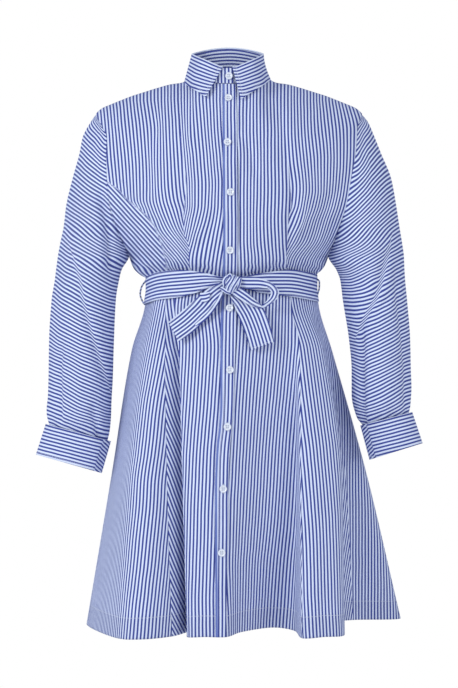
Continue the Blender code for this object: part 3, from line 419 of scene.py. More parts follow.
# the right tail is folded on itself near the knot, and its lower edge is turned up
TURN_RIGHT = (
    (-46, -330.5, -43, -345.5, 8, 8), (-38, -330, -37, -344.5, 8.4, 8.4),
    (-29.5, -328, -31, -341.5, 8, 8),
)
TURNED_EDGE_RIGHT = (
    (-12, -328, -8.5, -330.5, 4.5, 4), (-19, -341, -15, -344, 6.5, 6),
    (-28, -354, -23.5, -357.5, 8.2, 7.6), (-39, -366, -35, -371.5, 8.2, 7.6),
    (-54, -379, -51.5, -384, 7, 6.4),
)
RIBBON_LIFT = 2.2
BELT_LIFT = 4.6
BELT_SIDE_LIFT = 1.1
ON_BELT_LIFT = 0.8        # from the middle of the belt's cloth to its face
BOW_SPREAD = 12.0         # the bow lies on an oval this much wider than the waist
BOW_BLEND = 18.0          # below the belt it comes to lie on the skirt within this height
KNOT = dict(centre=(4, -316), half=(10.5, 7.0, 13.5), clearance=3.4)
# strands of the knot: drawn line, half width, and how far each stands off the knot's middle
KNOT_STRANDS = (
    ((-3.5, -330), (-1, -321), (4.5, -312), (9.5, -302), 3.6, 6.6),
    ((1.5, -331.5), (5.5, -322), (11, -313), (16, -305), 3.9, 5.0),
    ((-7, -321), (-8, -313), (-4.5, -306), (1.5, -303), 2.7, 4.0),
    ((-3, -304), (1.5, -301.5), (4, -306), (3, -312), 2.2, 5.4),
    ((12, -325), (15, -319.5), (17, -313), (18.5, -307), 2.6, 3.0),
    ((-14, -322), (-8, -325.5), (-3, -329), (4, -331), 3.2, 3.2),
)
STRAND_BLUNT = 0.6        # the higher, the blunter the ends of the strands
STRAND_THICK = 2.6
STRAND_LENGTH = 30.0      # of cloth along a strand, for its stripes


# ---------------------------------------------------------------- drawing functions
def curve(keys, values, at):
    """Smooth curve through a table's rows, with no overshoot between them."""
    keys = np.asarray(keys, float)
    values = np.asarray(values, float)
    at = np.clip(np.asarray(at, float), keys[0], keys[-1])
    steps = np.diff(keys)
    rises = np.diff(values) / steps
    slopes = np.zeros_like(values)
    same = rises[:-1] * rises[1:] > 0
    total = np.where(same, rises[:-1] + rises[1:], 1.0)
    slopes[1:-1] = np.where(same, 2 * rises[:-1] * rises[1:] / total, 0.0)
    slopes[0] = rises[0]
    slopes[-1] = rises[-1]
    row = np.clip(np.searchsorted(keys, at) - 1, 0, len(keys) - 2)
    step = steps[row]
    part = (at - keys[row]) / step
    back = 1 - part
    return (
        (1 + 2 * part) * back**2 * values[row]
        + part * back**2 * step * slopes[row]
        + part**2 * (3 - 2 * part) * values[row + 1]
        - part**2 * back * step * slopes[row + 1]
    )


def read(table, column, at, key="height"):
    """Column of a table at heights, or at values of another of its columns."""
    return curve(table[key], table[column], at)


def ease(low, high, value):
    """Soft step from 0 at low to 1 at high."""
    part = np.clip((value - low) / (high - low), 0, 1)
    return part * part * (3 - 2 * part)


def placed(across, depth, height):
    """Model point of a drawn point whose real depth is known."""
    scale = 1 + depth / DRAWING_DISTANCE
    return np.stack(
        [across * scale, depth + 0 * across, DRAWING_LEVEL + (height - DRAWING_LEVEL) * scale], -1
    )


def off_line(points, across, height):
    """Signed distance of drawn points from a line, and how far along it they lie, 0 to 1."""
    lengths = [math.dist(a, b) for a, b in zip(points, points[1:])]
    whole = sum(lengths)
    nearest = np.full(np.broadcast(across, height).shape, np.inf)
    side = np.zeros_like(nearest)
    along = np.zeros_like(nearest)
    passed = 0.0
    for (x0, z0), (x1, z1), length in zip(points, points[1:], lengths):
        run = ((across - x0) * (x1 - x0) + (height - z0) * (z1 - z0)) / length**2
        held = np.clip(run, 0, 1)
        gap = np.hypot(across - x0 - held * (x1 - x0), height - z0 - held * (z1 - z0))
        turn = (across - x0) * (z1 - z0) - (height - z0) * (x1 - x0)
        nearer = gap < nearest
        first = points[0] == (x0, z0)
        last = points[-1] == (x1, z1)
        free = np.where((run < 0) & first | (run > 1) & last, run, held)
        nearest = np.where(nearer, gap, nearest)
        side = np.where(nearer, np.sign(turn), side)
        along = np.where(nearer, (passed + free * length) / whole, along)
        passed += length
    return nearest * side, along


def crease_relief(creases, across, height):
    """How far the creases draw the cloth in at drawn points."""
    relief = np.zeros(np.broadcast(across, height).shape)
    for _, points, depth, before, after in creases:
        off, along = off_line(points, across, height)
        half = np.where(off < 0, before, after)
        fade = ease(*CREASE_START, along) * (1 - ease(*CREASE_END, along))
        relief += depth * fade * np.exp(-np.abs(off / half) ** CREASE_ROUNDNESS)
    return relief


# ---------------------------------------------------------------- body of the dress
def side_name(side):
    """The wearer's right has side -1, the left 1; of the faces, the front is -1 and the back 1."""
    return "right" if side < 0 else "left"


def body_edge(side, height):
    return read(PANEL_EDGE, side_name(side), height)


def sleeve_section(side, height):
    """Middle and half of the sleeve's width, half its depth, and the depth of its middle."""
    table = SLEEVE_RIGHT if side < 0 else SLEEVE_LEFT
    outer = read(table, "outer", height)
    inner = read(table, "inner", height)
    return (
        (outer + inner) / 2,
        (outer - inner) / 2,
        read(table, "depth", height),
        read(table, "middle", height),
    )


def seam_angle(side, height):
    """Angle of the armhole seam round the sleeve's section, 0 on the inner side."""
    centre, half, _, _ = sleeve_section(side, height)
    cosine = np.clip((centre - body_edge(side, height)) / half, -1, 1)
    return np.where(height > UNDERARM, np.arccos(cosine), 0.0)


def armhole_depth(side, height, face):
    _, _, depth, middle = sleeve_section(side, height)
    return middle + face * depth * np.sin(seam_angle(side, height))


def roll(across, height):
    """How far the body has rounded out below the shoulder, 0 at the ridge to 1."""
    top = read(SHOULDER, "height", np.abs(across), "across")
    part = np.clip((top - height) / SHOULDER_ROLL, 0, 1)
    return np.sqrt(np.maximum(1 - (1 - part) ** 2, 0))


def belt_edge(column, across, face):
    """Height of the belt's top or low edge; behind, it runs level."""
    behind = dict(top=BELT_BACK_TOP, low=BELT_BACK_LOW)[column]
    if face > 0:
        side = read(BELT, column, np.sign(across + 1e-9) * WAIST_HALF, "across")
        return behind + (side - behind) * ease(BELT_BACK_LEVEL, WAIST_HALF, np.abs(across))
    return read(BELT, column, across, "across")


def waist_shift(side, turn, height, face):
    """The belt lies higher in front and behind than at the sides, and the cloth with it."""
    across = side * np.sin(turn) * WAIST_HALF
    rise = belt_edge("top", across, face) - BELT_SIDE_TOP
    return rise * (1 - ease(BELT_ZONE, UNDERARM, height))


def body_point(side, u, height, face, relief=True):
    """Drawn across, real depth: u runs from the middle of the front or back to the panel's edge."""
    level = height - waist_shift(side, u * math.pi / 2, height, face)
    half = read(BODY, side_name(side), level)
    edge = body_edge(side, level)
    turn = u * np.arcsin(np.clip(edge / half, -1, 1))
    across = half * np.sin(turn)
    deep = read(BODY, "front" if face < 0 else "back", level)
    rounded = roll(across, height)
    depth = RIDGE_DEPTH * (1 - rounded) + face * deep * np.cos(turn) * rounded
    wanted = np.where(height > UNDERARM, armhole_depth(side, height, face), 0.0)
    rounded_edge = roll(edge, height)
    found = RIDGE_DEPTH * (1 - rounded_edge)
    found = found + face * deep * rounded_edge * np.sqrt(np.maximum(1 - (edge / half) ** 2, 0))
    # the panel bends to the armhole's depth beside the seam, and ever closer to it on the shoulder
    depth = depth + (wanted - found) * np.clip(u, 0, 1) ** (5 + 40 * ease(-95, -50, height))
    if relief:
        creases = CREASES_RIGHT if side < 0 else CREASES_LEFT
        calm = (1 - np.clip(u, 0, 1) ** 12) * ease(*BEHIND_BELT, level)
        drawn = crease_relief(creases, side * across, height)
        # the second sine spaces the gathers unevenly
        wave = np.cos(u * GATHERS * 2 * math.pi + 3 * np.sin(9 * u)) * ease(*GATHER_START, u)
        wave = wave * GATHER_DEPTH * (1 - ease(GATHER_FOOT, GATHER_FOOT + GATHER_HEIGHT, level))
        depth = depth - face * (drawn + wave) * calm
    return side * across, depth


def neck_height(across, face):
    part = np.clip(np.abs(across) / NECK_HALF_WIDTH, 0, 1)
    front = NECK_SIDE_HEIGHT * part**2
    behind = NECK_SIDE_HEIGHT + BACK_NECK_RISE * (1 - part**2)
    return front if face < 0 else behind


def top_height(side, u, face):
    """Height of the neckline or shoulder seam at the top of a column."""
    height = np.zeros_like(u)
    for _ in range(12):
        across = np.abs(body_point(side, u, height, face, relief=False)[0])
        shoulder = read(SHOULDER, "height", across, "across")
        height = np.where(across < NECK_HALF_WIDTH, neck_height(across, face), shoulder)
    return height


ABOVE_PART = 12 / 14      # part of the bodice's rows that lie above the belt


def row_height(top, belt_top, v):
    """Rows lie closer together where the cloth rounds over the shoulder."""
    above = top + (belt_top - top) * np.minimum(v / ABOVE_PART, 1) ** 1.3
    below = np.maximum(v - ABOVE_PART, 0) / (1 - ABOVE_PART)
    return above + (WAIST + SEAM - belt_top) * below


def belt_row(side, u, face):
    return belt_edge("top", side * WAIST_HALF * np.sin(u * math.pi / 2), face) + ABOVE_BELT


def panel_part(side, across, height):
    """u of a drawn distance from the middle."""
    half = read(BODY, side_name(side), height)
    edge = body_edge(side, height)
    return np.arcsin(side * across / half) / np.arcsin(np.clip(edge / half, -1, 1))


def panel_column(side, u, v, face):
    """Drawn points of a front or back; the shoulder seam stays open by a part of a seam's gap."""
    top = top_height(side, np.clip(u, 0, 1), face)
    height = row_height(top, belt_row(side, u, face), v)
    across, depth = body_point(side, u, height, face)
    return across, depth + face * SEAM / 3 * (1 - ease(0, 0.1, v)), height


FRONT_INNER = 0.36        # part of a front's columns between the placket and the tuck


def front_panel(side):
    tuck = TUCK_RIGHT if side < 0 else TUCK_LEFT

    def place(u, v):
        rough = row_height(0.0, belt_row(side, 0.0, -1), v)
        sewn = read(PLACKET, "sewn", rough)
        start = panel_part(side, sewn + (LAP if side < 0 else UNDERLAP), rough)
        middle = panel_part(side, read(tuck, "across", rough), rough)
        end = 1 - SEAM / BODICE_WIDTH
        inner = start + (middle - start) * u / FRONT_INNER
        outer = middle + (end - middle) * (u - FRONT_INNER) / (1 - FRONT_INNER)
        return panel_column(side, np.where(u < FRONT_INNER, inner, outer), v, -1)

    return place


def back_panel(u, v):
    reach = np.minimum(np.abs(2 * u - 1), 1 - SEAM / BODICE_WIDTH)
    right = panel_column(-1, reach, v, 1)
    left = panel_column(1, reach, v, 1)
    return [np.where(u < 0.5, a, b) for a, b in zip(right, left)]


# ---------------------------------------------------------------- sleeves and cuffs
def cuff_tilt(side):
    table = CUFF_RIGHT if side < 0 else CUFF_LEFT
    (x0, z0), (x1, z1) = table["top_outer"], table["top_inner"]
    return (z1 - z0) / (x1 - x0)


def sleeve_point(side, t, height):
    """t runs from the front of the underarm seam round the outside to its back."""
    table = SLEEVE_RIGHT if side < 0 else SLEEVE_LEFT
    centre, half, depth, middle = sleeve_section(side, height)
    start = seam_angle(side, height)
    angle = start + t * (2 * math.pi - 2 * start)
    across = side * (centre - half * np.cos(angle))
    creases = CREASES_SLEEVE_RIGHT if side < 0 else CREASES_SLEEVE_LEFT
    lowest = table["height"][0]
    ahead, behind = (np.clip(sign * np.sin(angle) * CREASE_TURN, 0, 1) for sign in (1, -1))
    facing = ahead + BACK_CREASES * behind
    drawn = crease_relief(creases, across, height) * facing * ease(*SLEEVE_HEAD, height)
    wave = (1 + np.cos(2 * CUFF_PLEATS * angle)) / 2
    wave = wave * CUFF_PLEAT_DEPTH * (1 - ease(lowest, lowest + CUFF_PLEAT_HEIGHT, height))
    inward = (drawn + wave) / np.hypot(half, depth) * SLEEVE_DRAW
    across = side * (centre - half * (1 - inward) * np.cos(angle))
    real_depth = middle - depth * (1 - inward) * np.sin(angle)
    tilt = cuff_tilt(side) * (1 - ease(lowest, lowest + CUFF_TILT_REACH, height))
    return across, real_depth, height + (across - side * centre) * tilt


def sleeve(side):
    lowest = (SLEEVE_RIGHT if side < 0 else SLEEVE_LEFT)["height"][0]

    def place(u, v):
        # rows lie a little closer together towards the shoulder
        height = SLEEVE_TOP + (lowest - SLEEVE_TOP) * (0.25 * v + 0.75 * v**1.25)
        trim = SEAM / SLEEVE_ROUND * (height > UNDERARM)
        return sleeve_point(side, trim + (1 - 2 * trim) * u, height)

    return place


def cuff(side):
    table = CUFF_RIGHT if side < 0 else CUFF_LEFT

    def place(u, v):
        turns = CUFF_START + u * CUFF_ROUND
        top_outer, top_inner, low_outer, low_inner = (
            np.array(table[key], float)
            for key in ("top_outer", "top_inner", "low_outer", "low_inner")
        )
        down = (CUFF_SEAM + (1 - CUFF_SEAM) * v)[:, None]
        outer = top_outer + (low_outer - top_outer) * down
        inner = top_inner + (low_inner - top_inner) * down
        centre = (outer + inner) / 2
        half = (inner - outer) / 2
        grow = 1 + CUFF_LAP * (u - 0.5) + CUFF_WAVE * np.sin(3 * turns)
        line = centre + half * (grow * np.cos(turns))[:, None]
        depth = table["middle"] - CUFF_LEAN * v - table["depth"] * grow * np.sin(turns)
        step_in, step_out = (CUFF_TURN - step for step in CUFF_TURN_STEP)
        turned_in = ease(2 * math.pi, step_in, turns) * (1 - ease(step_out, CUFF_TURN, turns))
        return line[:, 0], depth + CUFF_TURN_DEPTH * turned_in, line[:, 1]

    return place


# ---------------------------------------------------------------- skirt
RIB_NAMES = [row[0] for row in SKIRT_RIBS]
RIB_VALUES = np.array([row[1:] for row in SKIRT_RIBS], float)


def rib_points(v):
    """Drawn x, real depth and drawn height of every rib at the rows v, 0 at the waist."""
    hem = RIB_VALUES[:, 8]
    height = WAIST + v[:, None] * (hem - WAIST)
    across = np.empty_like(height)
    depth = np.empty_like(height)
    for n, row in enumerate(RIB_VALUES):
        keys = (hem[n], *RIB_HEIGHTS[::-1])
        x_waist, x_upper, x_middle, x_hem, y_waist, y_upper, y_middle, y_hem = row[:8]
        stops = (x_hem, x_middle, x_upper, x_waist * FLARE_UNDER_BELT, x_waist)
        across[:, n] = curve(keys, stops, height[:, n])
        stops = (y_hem, y_middle, y_upper, y_waist * FLARE_UNDER_BELT, y_waist)
        depth[:, n] = curve(keys, stops, height[:, n])
    return np.stack([across, depth, height], -1)


def skirt_point(ring, v):
    """ring counts ribs from the middle of the front; fractions lie on a smooth curve."""
    count = len(SKIRT_RIBS)
    levels, which = np.unique(v, return_inverse=True)
    points = rib_points(levels)[which]
    first = np.floor(ring).astype(int)
    part = (ring - first)[:, None]
    rows = np.arange(len(ring))
    before, here, after, beyond = (points[rows, (first + k) % count] for k in (-1, 0, 1, 2))
    return 0.5 * (
        2 * here
        + (after - before) * part
        + (2 * before - 5 * here + 4 * after - beyond) * part**2
        + (3 * here - before - 3 * after + beyond) * part**3
    )


def waist_gap(v):
    """Rows of the skirt, starting the seam's gap below the bodice."""
    return SEAM / SKIRT_LENGTH + (1 - SEAM / SKIRT_LENGTH) * v


def ring_at(across, v):
    """Place on the ring of drawn x values near the middle of the front."""
    rings = np.linspace(-1, 1, 81)
    result = np.empty(len(v))
    for level in np.unique(v):
        x = skirt_point(rings, np.full(len(rings), level))[:, 0]
        mine = v == level
        result[mine] = np.interp(across[mine], x, rings)
    return result


def skirt_panel(*bounds):
    """Panel over several zones of the ring, an equal number of columns in each.

    A bound is a rib's name; None stands for the edge at the placket.
    """
    def place(u, v):
        rows = waist_gap(v)
        sewn = read(PLACKET, "sewn", WAIST + rows * (FRONT_HEM - WAIST))
        rings = [bound and np.full(len(u), float(RIB_NAMES.index(bound))) for bound in bounds]
        if bounds[0] is None:
            rings[0] = ring_at(sewn + UNDERLAP, rows)
        if bounds[-1] is None:
            rings[-1] = len(SKIRT_RIBS) + ring_at(sewn + LAP, rows)
        zones = len(rings) - 1
        zone = np.minimum((u * zones).astype(int), zones - 1)
        part = u * zones - zone
        rings = np.array(rings)
        each = np.arange(len(u))
        ring = rings[zone, each] + (rings[zone + 1, each] - rings[zone, each]) * part
        return skirt_point(ring, rows).T

    return place


# ---------------------------------------------------------------- what lies on the front
def on_bodice(across, v):
    """Drawn points of the bodice front at rows v."""
    height = row_height(0.0, belt_edge("top", across, -1) + ABOVE_BELT, v)
    depth = np.empty(len(across))
    for side in (-1, 1):
        mine = side * across >= 0
        u = panel_part(side, across[mine], height[mine])
        depth[mine] = body_point(side, u, height[mine], -1)[1]
    return across, depth, height


def on_skirt(across, v):
    """Drawn points of the skirt front at rows v."""
    rows = waist_gap(v)
    point = skirt_point(ring_at(across, rows) % len(SKIRT_RIBS), rows)
    return point[:, 0], point[:, 1], point[:, 2]


def pucker(height):
    """The placket's edge draws in at each button and bows out between two of them."""
    stops = sorted(z for _, z in BUTTONS)
    below = np.clip(np.searchsorted(stops, height) - 1, 0, len(stops) - 2)
    low = np.array(stops)[below]
    high = np.array(stops)[below + 1]
    return np.sin(math.pi * np.clip((height - low) / (high - low), 0, 1)) ** 2


def placket(surface):
    def place(u, v):
        rough = WAIST + v * (FRONT_HEM - WAIST)
        if surface is on_bodice:
            rough = row_height(0.0, BELT_TOP_MIDDLE, v)
        sewn = read(PLACKET, "sewn", rough)
        free = read(PLACKET, "free", rough)
        across, depth, height = surface(sewn + (free - sewn) * u, v)
        swell = np.where(u > 0.5, PLACKET_SWELL["free"], PLACKET_SWELL["sewn"]) * (2 * u - 1) ** 2
        return across, depth - LIFT - pucker(rough) * swell, height

    return place


def front_slope(surface, across, height, step=4.0):
    """Slope of the front's depth at a drawn point, over a step above and below it."""
    v = np.linspace(0, 1, 41)
    _, depth, heights = surface(np.full(len(v), float(across)), v)
    below, above = np.interp((-height + step, -height - step), -heights, depth)
    return (above - below) / (2 * step)


# ---------------------------------------------------------------- belt and bow
def waist_ring(turn, height, lift):
    """Point of the dress at the belt, moved out; turn 0 is the front, 90 the wearer's left."""
    wide = np.where(np.sin(turn) < 0, read(BODY, "right", WAIST), read(BODY, "left", WAIST))
    deep = np.where(np.cos(turn) > 0, read(BODY, "front", WAIST), read(BODY, "back", WAIST))
    flare = HIP_SLOPE * np.maximum(WAIST - HIP_START - height, 0)
    return (wide + lift + flare) * np.sin(turn), -(deep + lift + flare) * np.cos(turn)


def belt(u, v):
    """Band round the waist, drawn together into folds beside the knot."""
    turn = BELT_ENDS + u * (2 * math.pi - 2 * BELT_ENDS)
    across = waist_ring(turn, np.full_like(turn, WAIST), 0)[0]
    ahead = np.cos(turn) > 0
    top = np.where(ahead, belt_edge("top", across, -1), belt_edge("top", across, 1))
    low = np.where(ahead, belt_edge("low", across, -1), belt_edge("low", across, 1))
    height = top + (low - top) * v
    gathered = np.exp(-((across - KNOT["centre"][0]) / BELT_FOLDS["reach"]) ** 2) * ahead
    wave = np.cos(v * BELT_FOLDS["count"] * 2 * math.pi + across / BELT_FOLDS["lean"])
    folds = gathered * BELT_FOLDS["depth"] * wave
    lift = BELT_SIDE_LIFT + (BELT_LIFT - BELT_SIDE_LIFT) * ease(0, 0.5, np.abs(np.cos(turn)))
    swell = BELT_SWELL * np.sin(math.pi * v) * np.abs(np.cos(turn))
    across, depth = waist_ring(turn, height, lift + swell + folds)
    return across, depth, height


SKIRT_GRID_X = np.linspace(-110, 110, 23)
SKIRT_GRID_Z = np.linspace(-440, WAIST - 2, 25)


def skirt_table():
    """Depth of the skirt's front on a grid of drawn points below the belt."""
    v = np.linspace(0, 0.3, 16)
    x, rows = np.meshgrid(SKIRT_GRID_X, v)
    _, depth, height = (np.reshape(part, x.shape) for part in on_skirt(x.ravel(), rows.ravel()))
    return np.array([np.interp(-SKIRT_GRID_Z, -z, y) for y, z in zip(depth.T, height.T)])


SKIRT_DEPTHS = skirt_table()


def in_grid(values, stops):
    """Place of values among the even stops of a grid, kept inside its last one."""
    return np.clip((values - stops[0]) / (stops[1] - stops[0]), 0, len(stops) - 1.001)


def over_front(across, height):
    """Depth of the belt, or of the skirt below it, in front."""
    turn = np.arcsin(np.clip(across / (WAIST_HALF + BOW_SPREAD), -1, 1))
    on_belt = waist_ring(turn, height, BELT_LIFT + ON_BELT_LIFT)[1]
    x, z = in_grid(across, SKIRT_GRID_X), in_grid(height, SKIRT_GRID_Z)
    i, j = x.astype(int), z.astype(int)
    a, b = x - i, z - j
    skirt = (
        SKIRT_DEPTHS[i, j] * (1 - a) * (1 - b) + SKIRT_DEPTHS[i + 1, j] * a * (1 - b)
        + SKIRT_DEPTHS[i, j + 1] * (1 - a) * b + SKIRT_DEPTHS[i + 1, j + 1] * a * b
    )
    share = ease(BELT_BACK_LOW - BOW_BLEND, BELT_BACK_LOW, height)
    return np.minimum(skirt, on_belt) * share + skirt * (1 - share)


def ribbon(stations, folds):
    """Strip of belting between two edges; folds(u, v) lifts it off the belt or the skirt."""
    rows = np.array(stations, float)
    rows_at = np.arange(len(rows))

    def place(u, v):
        at = v * (len(rows) - 1)
        x0, z0, x1, z1, gap0, gap1 = (curve(rows_at, rows[:, k], at) for k in range(6))
        across = x0 + (x1 - x0) * u
        height = z0 + (z1 - z0) * u
        depth = over_front(across, height) - RIBBON_LIFT - gap0 - (gap1 - gap0) * u - folds(u, v)
        return across, depth, height

    return place


# ---------------------------------------------------------------- collar
def neck_ring(turn):
    """Neckline at a turn from the middle of the front, 180 at the back, as drawn points."""
    result = np.zeros((len(turn), 3))
    u = np.linspace(0, 0.6, 61)
    for n, t in enumerate(turn):
        side = -1 if math.sin(t) < 0 else 1
        face = -1 if math.cos(t) > 0 else 1
        across = NECK_HALF_WIDTH * abs(math.sin(t))
        height = float(neck_height(across, face))
        wide, depth = body_point(side, u, np.full_like(u, height), face, relief=False)
        result[n] = (side * across, np.interp(across, np.abs(wide), depth), height)
    return result


# collar stand: its height, and how far its top leans in, against the turn from the front
STAND = dict(
    turn=(0, 9, 20, 30, 40, 60, 90, 180), height=(24.5, 24, 27.1, 29.8, 31.9, 34.3, 35.8, 36),
    lean_right=(0.93, 0.93, 0.93, 0.92, 0.92, 0.91, 0.9, 0.87),
    lean_left=(0.93, 0.93, 0.92, 0.91, 0.9, 0.87, 0.84, 0.87),
)
STAND_RISE = 0.7          # of its foot above the neckline
STAND_LAP = 7.0           # degrees past the middle of the front, at either end
COLLAR_LIFT = 2.8
COLLAR_RISE = 2.4         # of the fold above the top of the stand
COLLAR_BOW = 1.5
COLLAR_FOLD_STRIPE = 1.2
# outer edge of the collar leaf against the turn, as drawn x, real depth and drawn height
LEAF_RIGHT = dict(
    turn=(9, 12, 20, 30, 55, 90, 125, 155, 180),
    across=(37, 38.7, 44, 50.5, 63.5, 71, 64, 38, 0),
    depth=(-86, -84, -78, -70, -47, 2, 50, 77, 83),
    height=(-21, -20, -16, -12, -4, 0.5, 3, 5, 7),
    hollow=1.0,
)
LEAF_LEFT = dict(
    turn=(5, 8, 18, 30, 55, 90, 125, 155, 180),
    across=(19, 22, 31.6, 42, 58, 66, 62, 38, 0),
    depth=(-88, -87, -81, -74, -49, 2, 50, 77, 83),
    height=(-24.5, -22.5, -16, -10, 0.5, 6, 4, 5, 7),
    hollow=1.8,
)


def around(turn):
    """Degrees from the middle of the front, on either side."""
    return np.degrees(np.abs(np.arctan2(np.sin(turn), np.cos(turn))))


def stand_point(turn, v, lift=0.0):
    """Drawn points of the stand from its foot up, moved out by lift."""
    turns, which = np.unique(turn, return_inverse=True)
    base = neck_ring(turns)[which]
    tall = curve(STAND["turn"], STAND["height"], around(turn))
    leans = [read(STAND, f"lean_{side}", around(turn), "turn") for side in ("right", "left")]
    # most of the lean comes low down, so that the stand is hollow outside
    lean = 1 + (np.where(np.sin(turn) < 0, *leans) - 1) * v**0.8
    grow = 1 + lift / NECK_HALF_WIDTH
    return base[:, 0] * lean * grow, base[:, 1] * lean * grow, base[:, 2] + STAND_RISE + tall * v


def stand_place(u, v):
    lap = math.radians(STAND_LAP)
    turn = -lap + u * (2 * math.pi + 2 * lap)
    return stand_point(turn, v, lift=LIFT * (u - 0.5))


def leaf_edge(turn, column):
    values = [read(table, column, around(turn), "turn") for table in (LEAF_RIGHT, LEAF_LEFT)]
    return np.where(np.sin(turn) < 0, *values)


def collar_place(u, v):
    """Collar fall from the fold at the top of the stand to its outer edge."""
    start, end = math.radians(LEAF_LEFT["turn"][0]), math.radians(360 - LEAF_RIGHT["turn"][0])
    turn = start + u * (end - start)
    side = np.where(np.sin(turn) < 0, -1, 1)
    fold_x, fold_y, fold_z = stand_point(turn, np.ones_like(u), lift=COLLAR_LIFT)
    fold_z = fold_z + COLLAR_RISE
    hollow = np.where(side < 0, LEAF_RIGHT["hollow"], LEAF_LEFT["hollow"])
    beside = np.sin(turn) ** 2
    out = v * (1 - beside) + v**hollow * beside
    across = fold_x + (side * leaf_edge(turn, "across") - fold_x) * out
    depth = fold_y + (leaf_edge(turn, "depth") - fold_y) * out
    depth = depth - COLLAR_BOW * np.sin(math.pi * v) * np.cos(turn)
    return across, depth, fold_z + (leaf_edge(turn, "height") - fold_z) * v


# ---------------------------------------------------------------- finishes
def linear(code):
    """Colour of an sRGB hex code, turned to linear."""
    channels = [int(code[n:n + 2], 16) / 255 for n in (1, 3, 5)]
    return (*(c / 12.92 if c <= 0.04045 else ((c + 0.055) / 1.055) ** 2.4 for c in channels), 1)


def add(tree, kind, *inputs, out=0, named=None, **settings):
    """Adds a node with its settings and gives one output.

    An input is a value, or the socket that feeds it.
    """
    made = tree.nodes.new("ShaderNode" + kind)
    for key, value in settings.items():
        setattr(made, key, value)
    for key, value in [*enumerate(inputs), *(named or {}).items()]:
        if isinstance(value, bpy.types.NodeSocket):
            tree.links.new(value, made.inputs[key])
        elif value is not None:
            made.inputs[key].default_value = value
    return made.outputs[out]


def new_finish(name, roughness):
    """Material with its node tree and shader."""
    material = bpy.data.materials.new(name)
    material.use_nodes = True
    shader = material.node_tree.nodes["Principled BSDF"]
    shader.inputs["Roughness"].default_value = roughness
    return material, material.node_tree, shader


BLUE = "#3B4897"
WHITE = "#E6EDFF"
PLAIN = "#6B7BBE"
THREAD = "#E9EDFA"
COLOURS = dict(out=2, data_type="RGBA")       # makes a Mix node mix its inputs 6 and 7
SMOOTH = dict(interpolation_type="SMOOTHSTEP")
SLUB_ACROSS = 650.0       # to the metre, so 1.5 mm wide
SLUB_ALONG = 25.0         # 40 mm long
WEAVE_TURN = 6283.0       # a full turn each millimetre
STITCH = 3.0 * MM
STITCH_PART = 0.78        # of each stitch that shows; the rest dips into the cloth


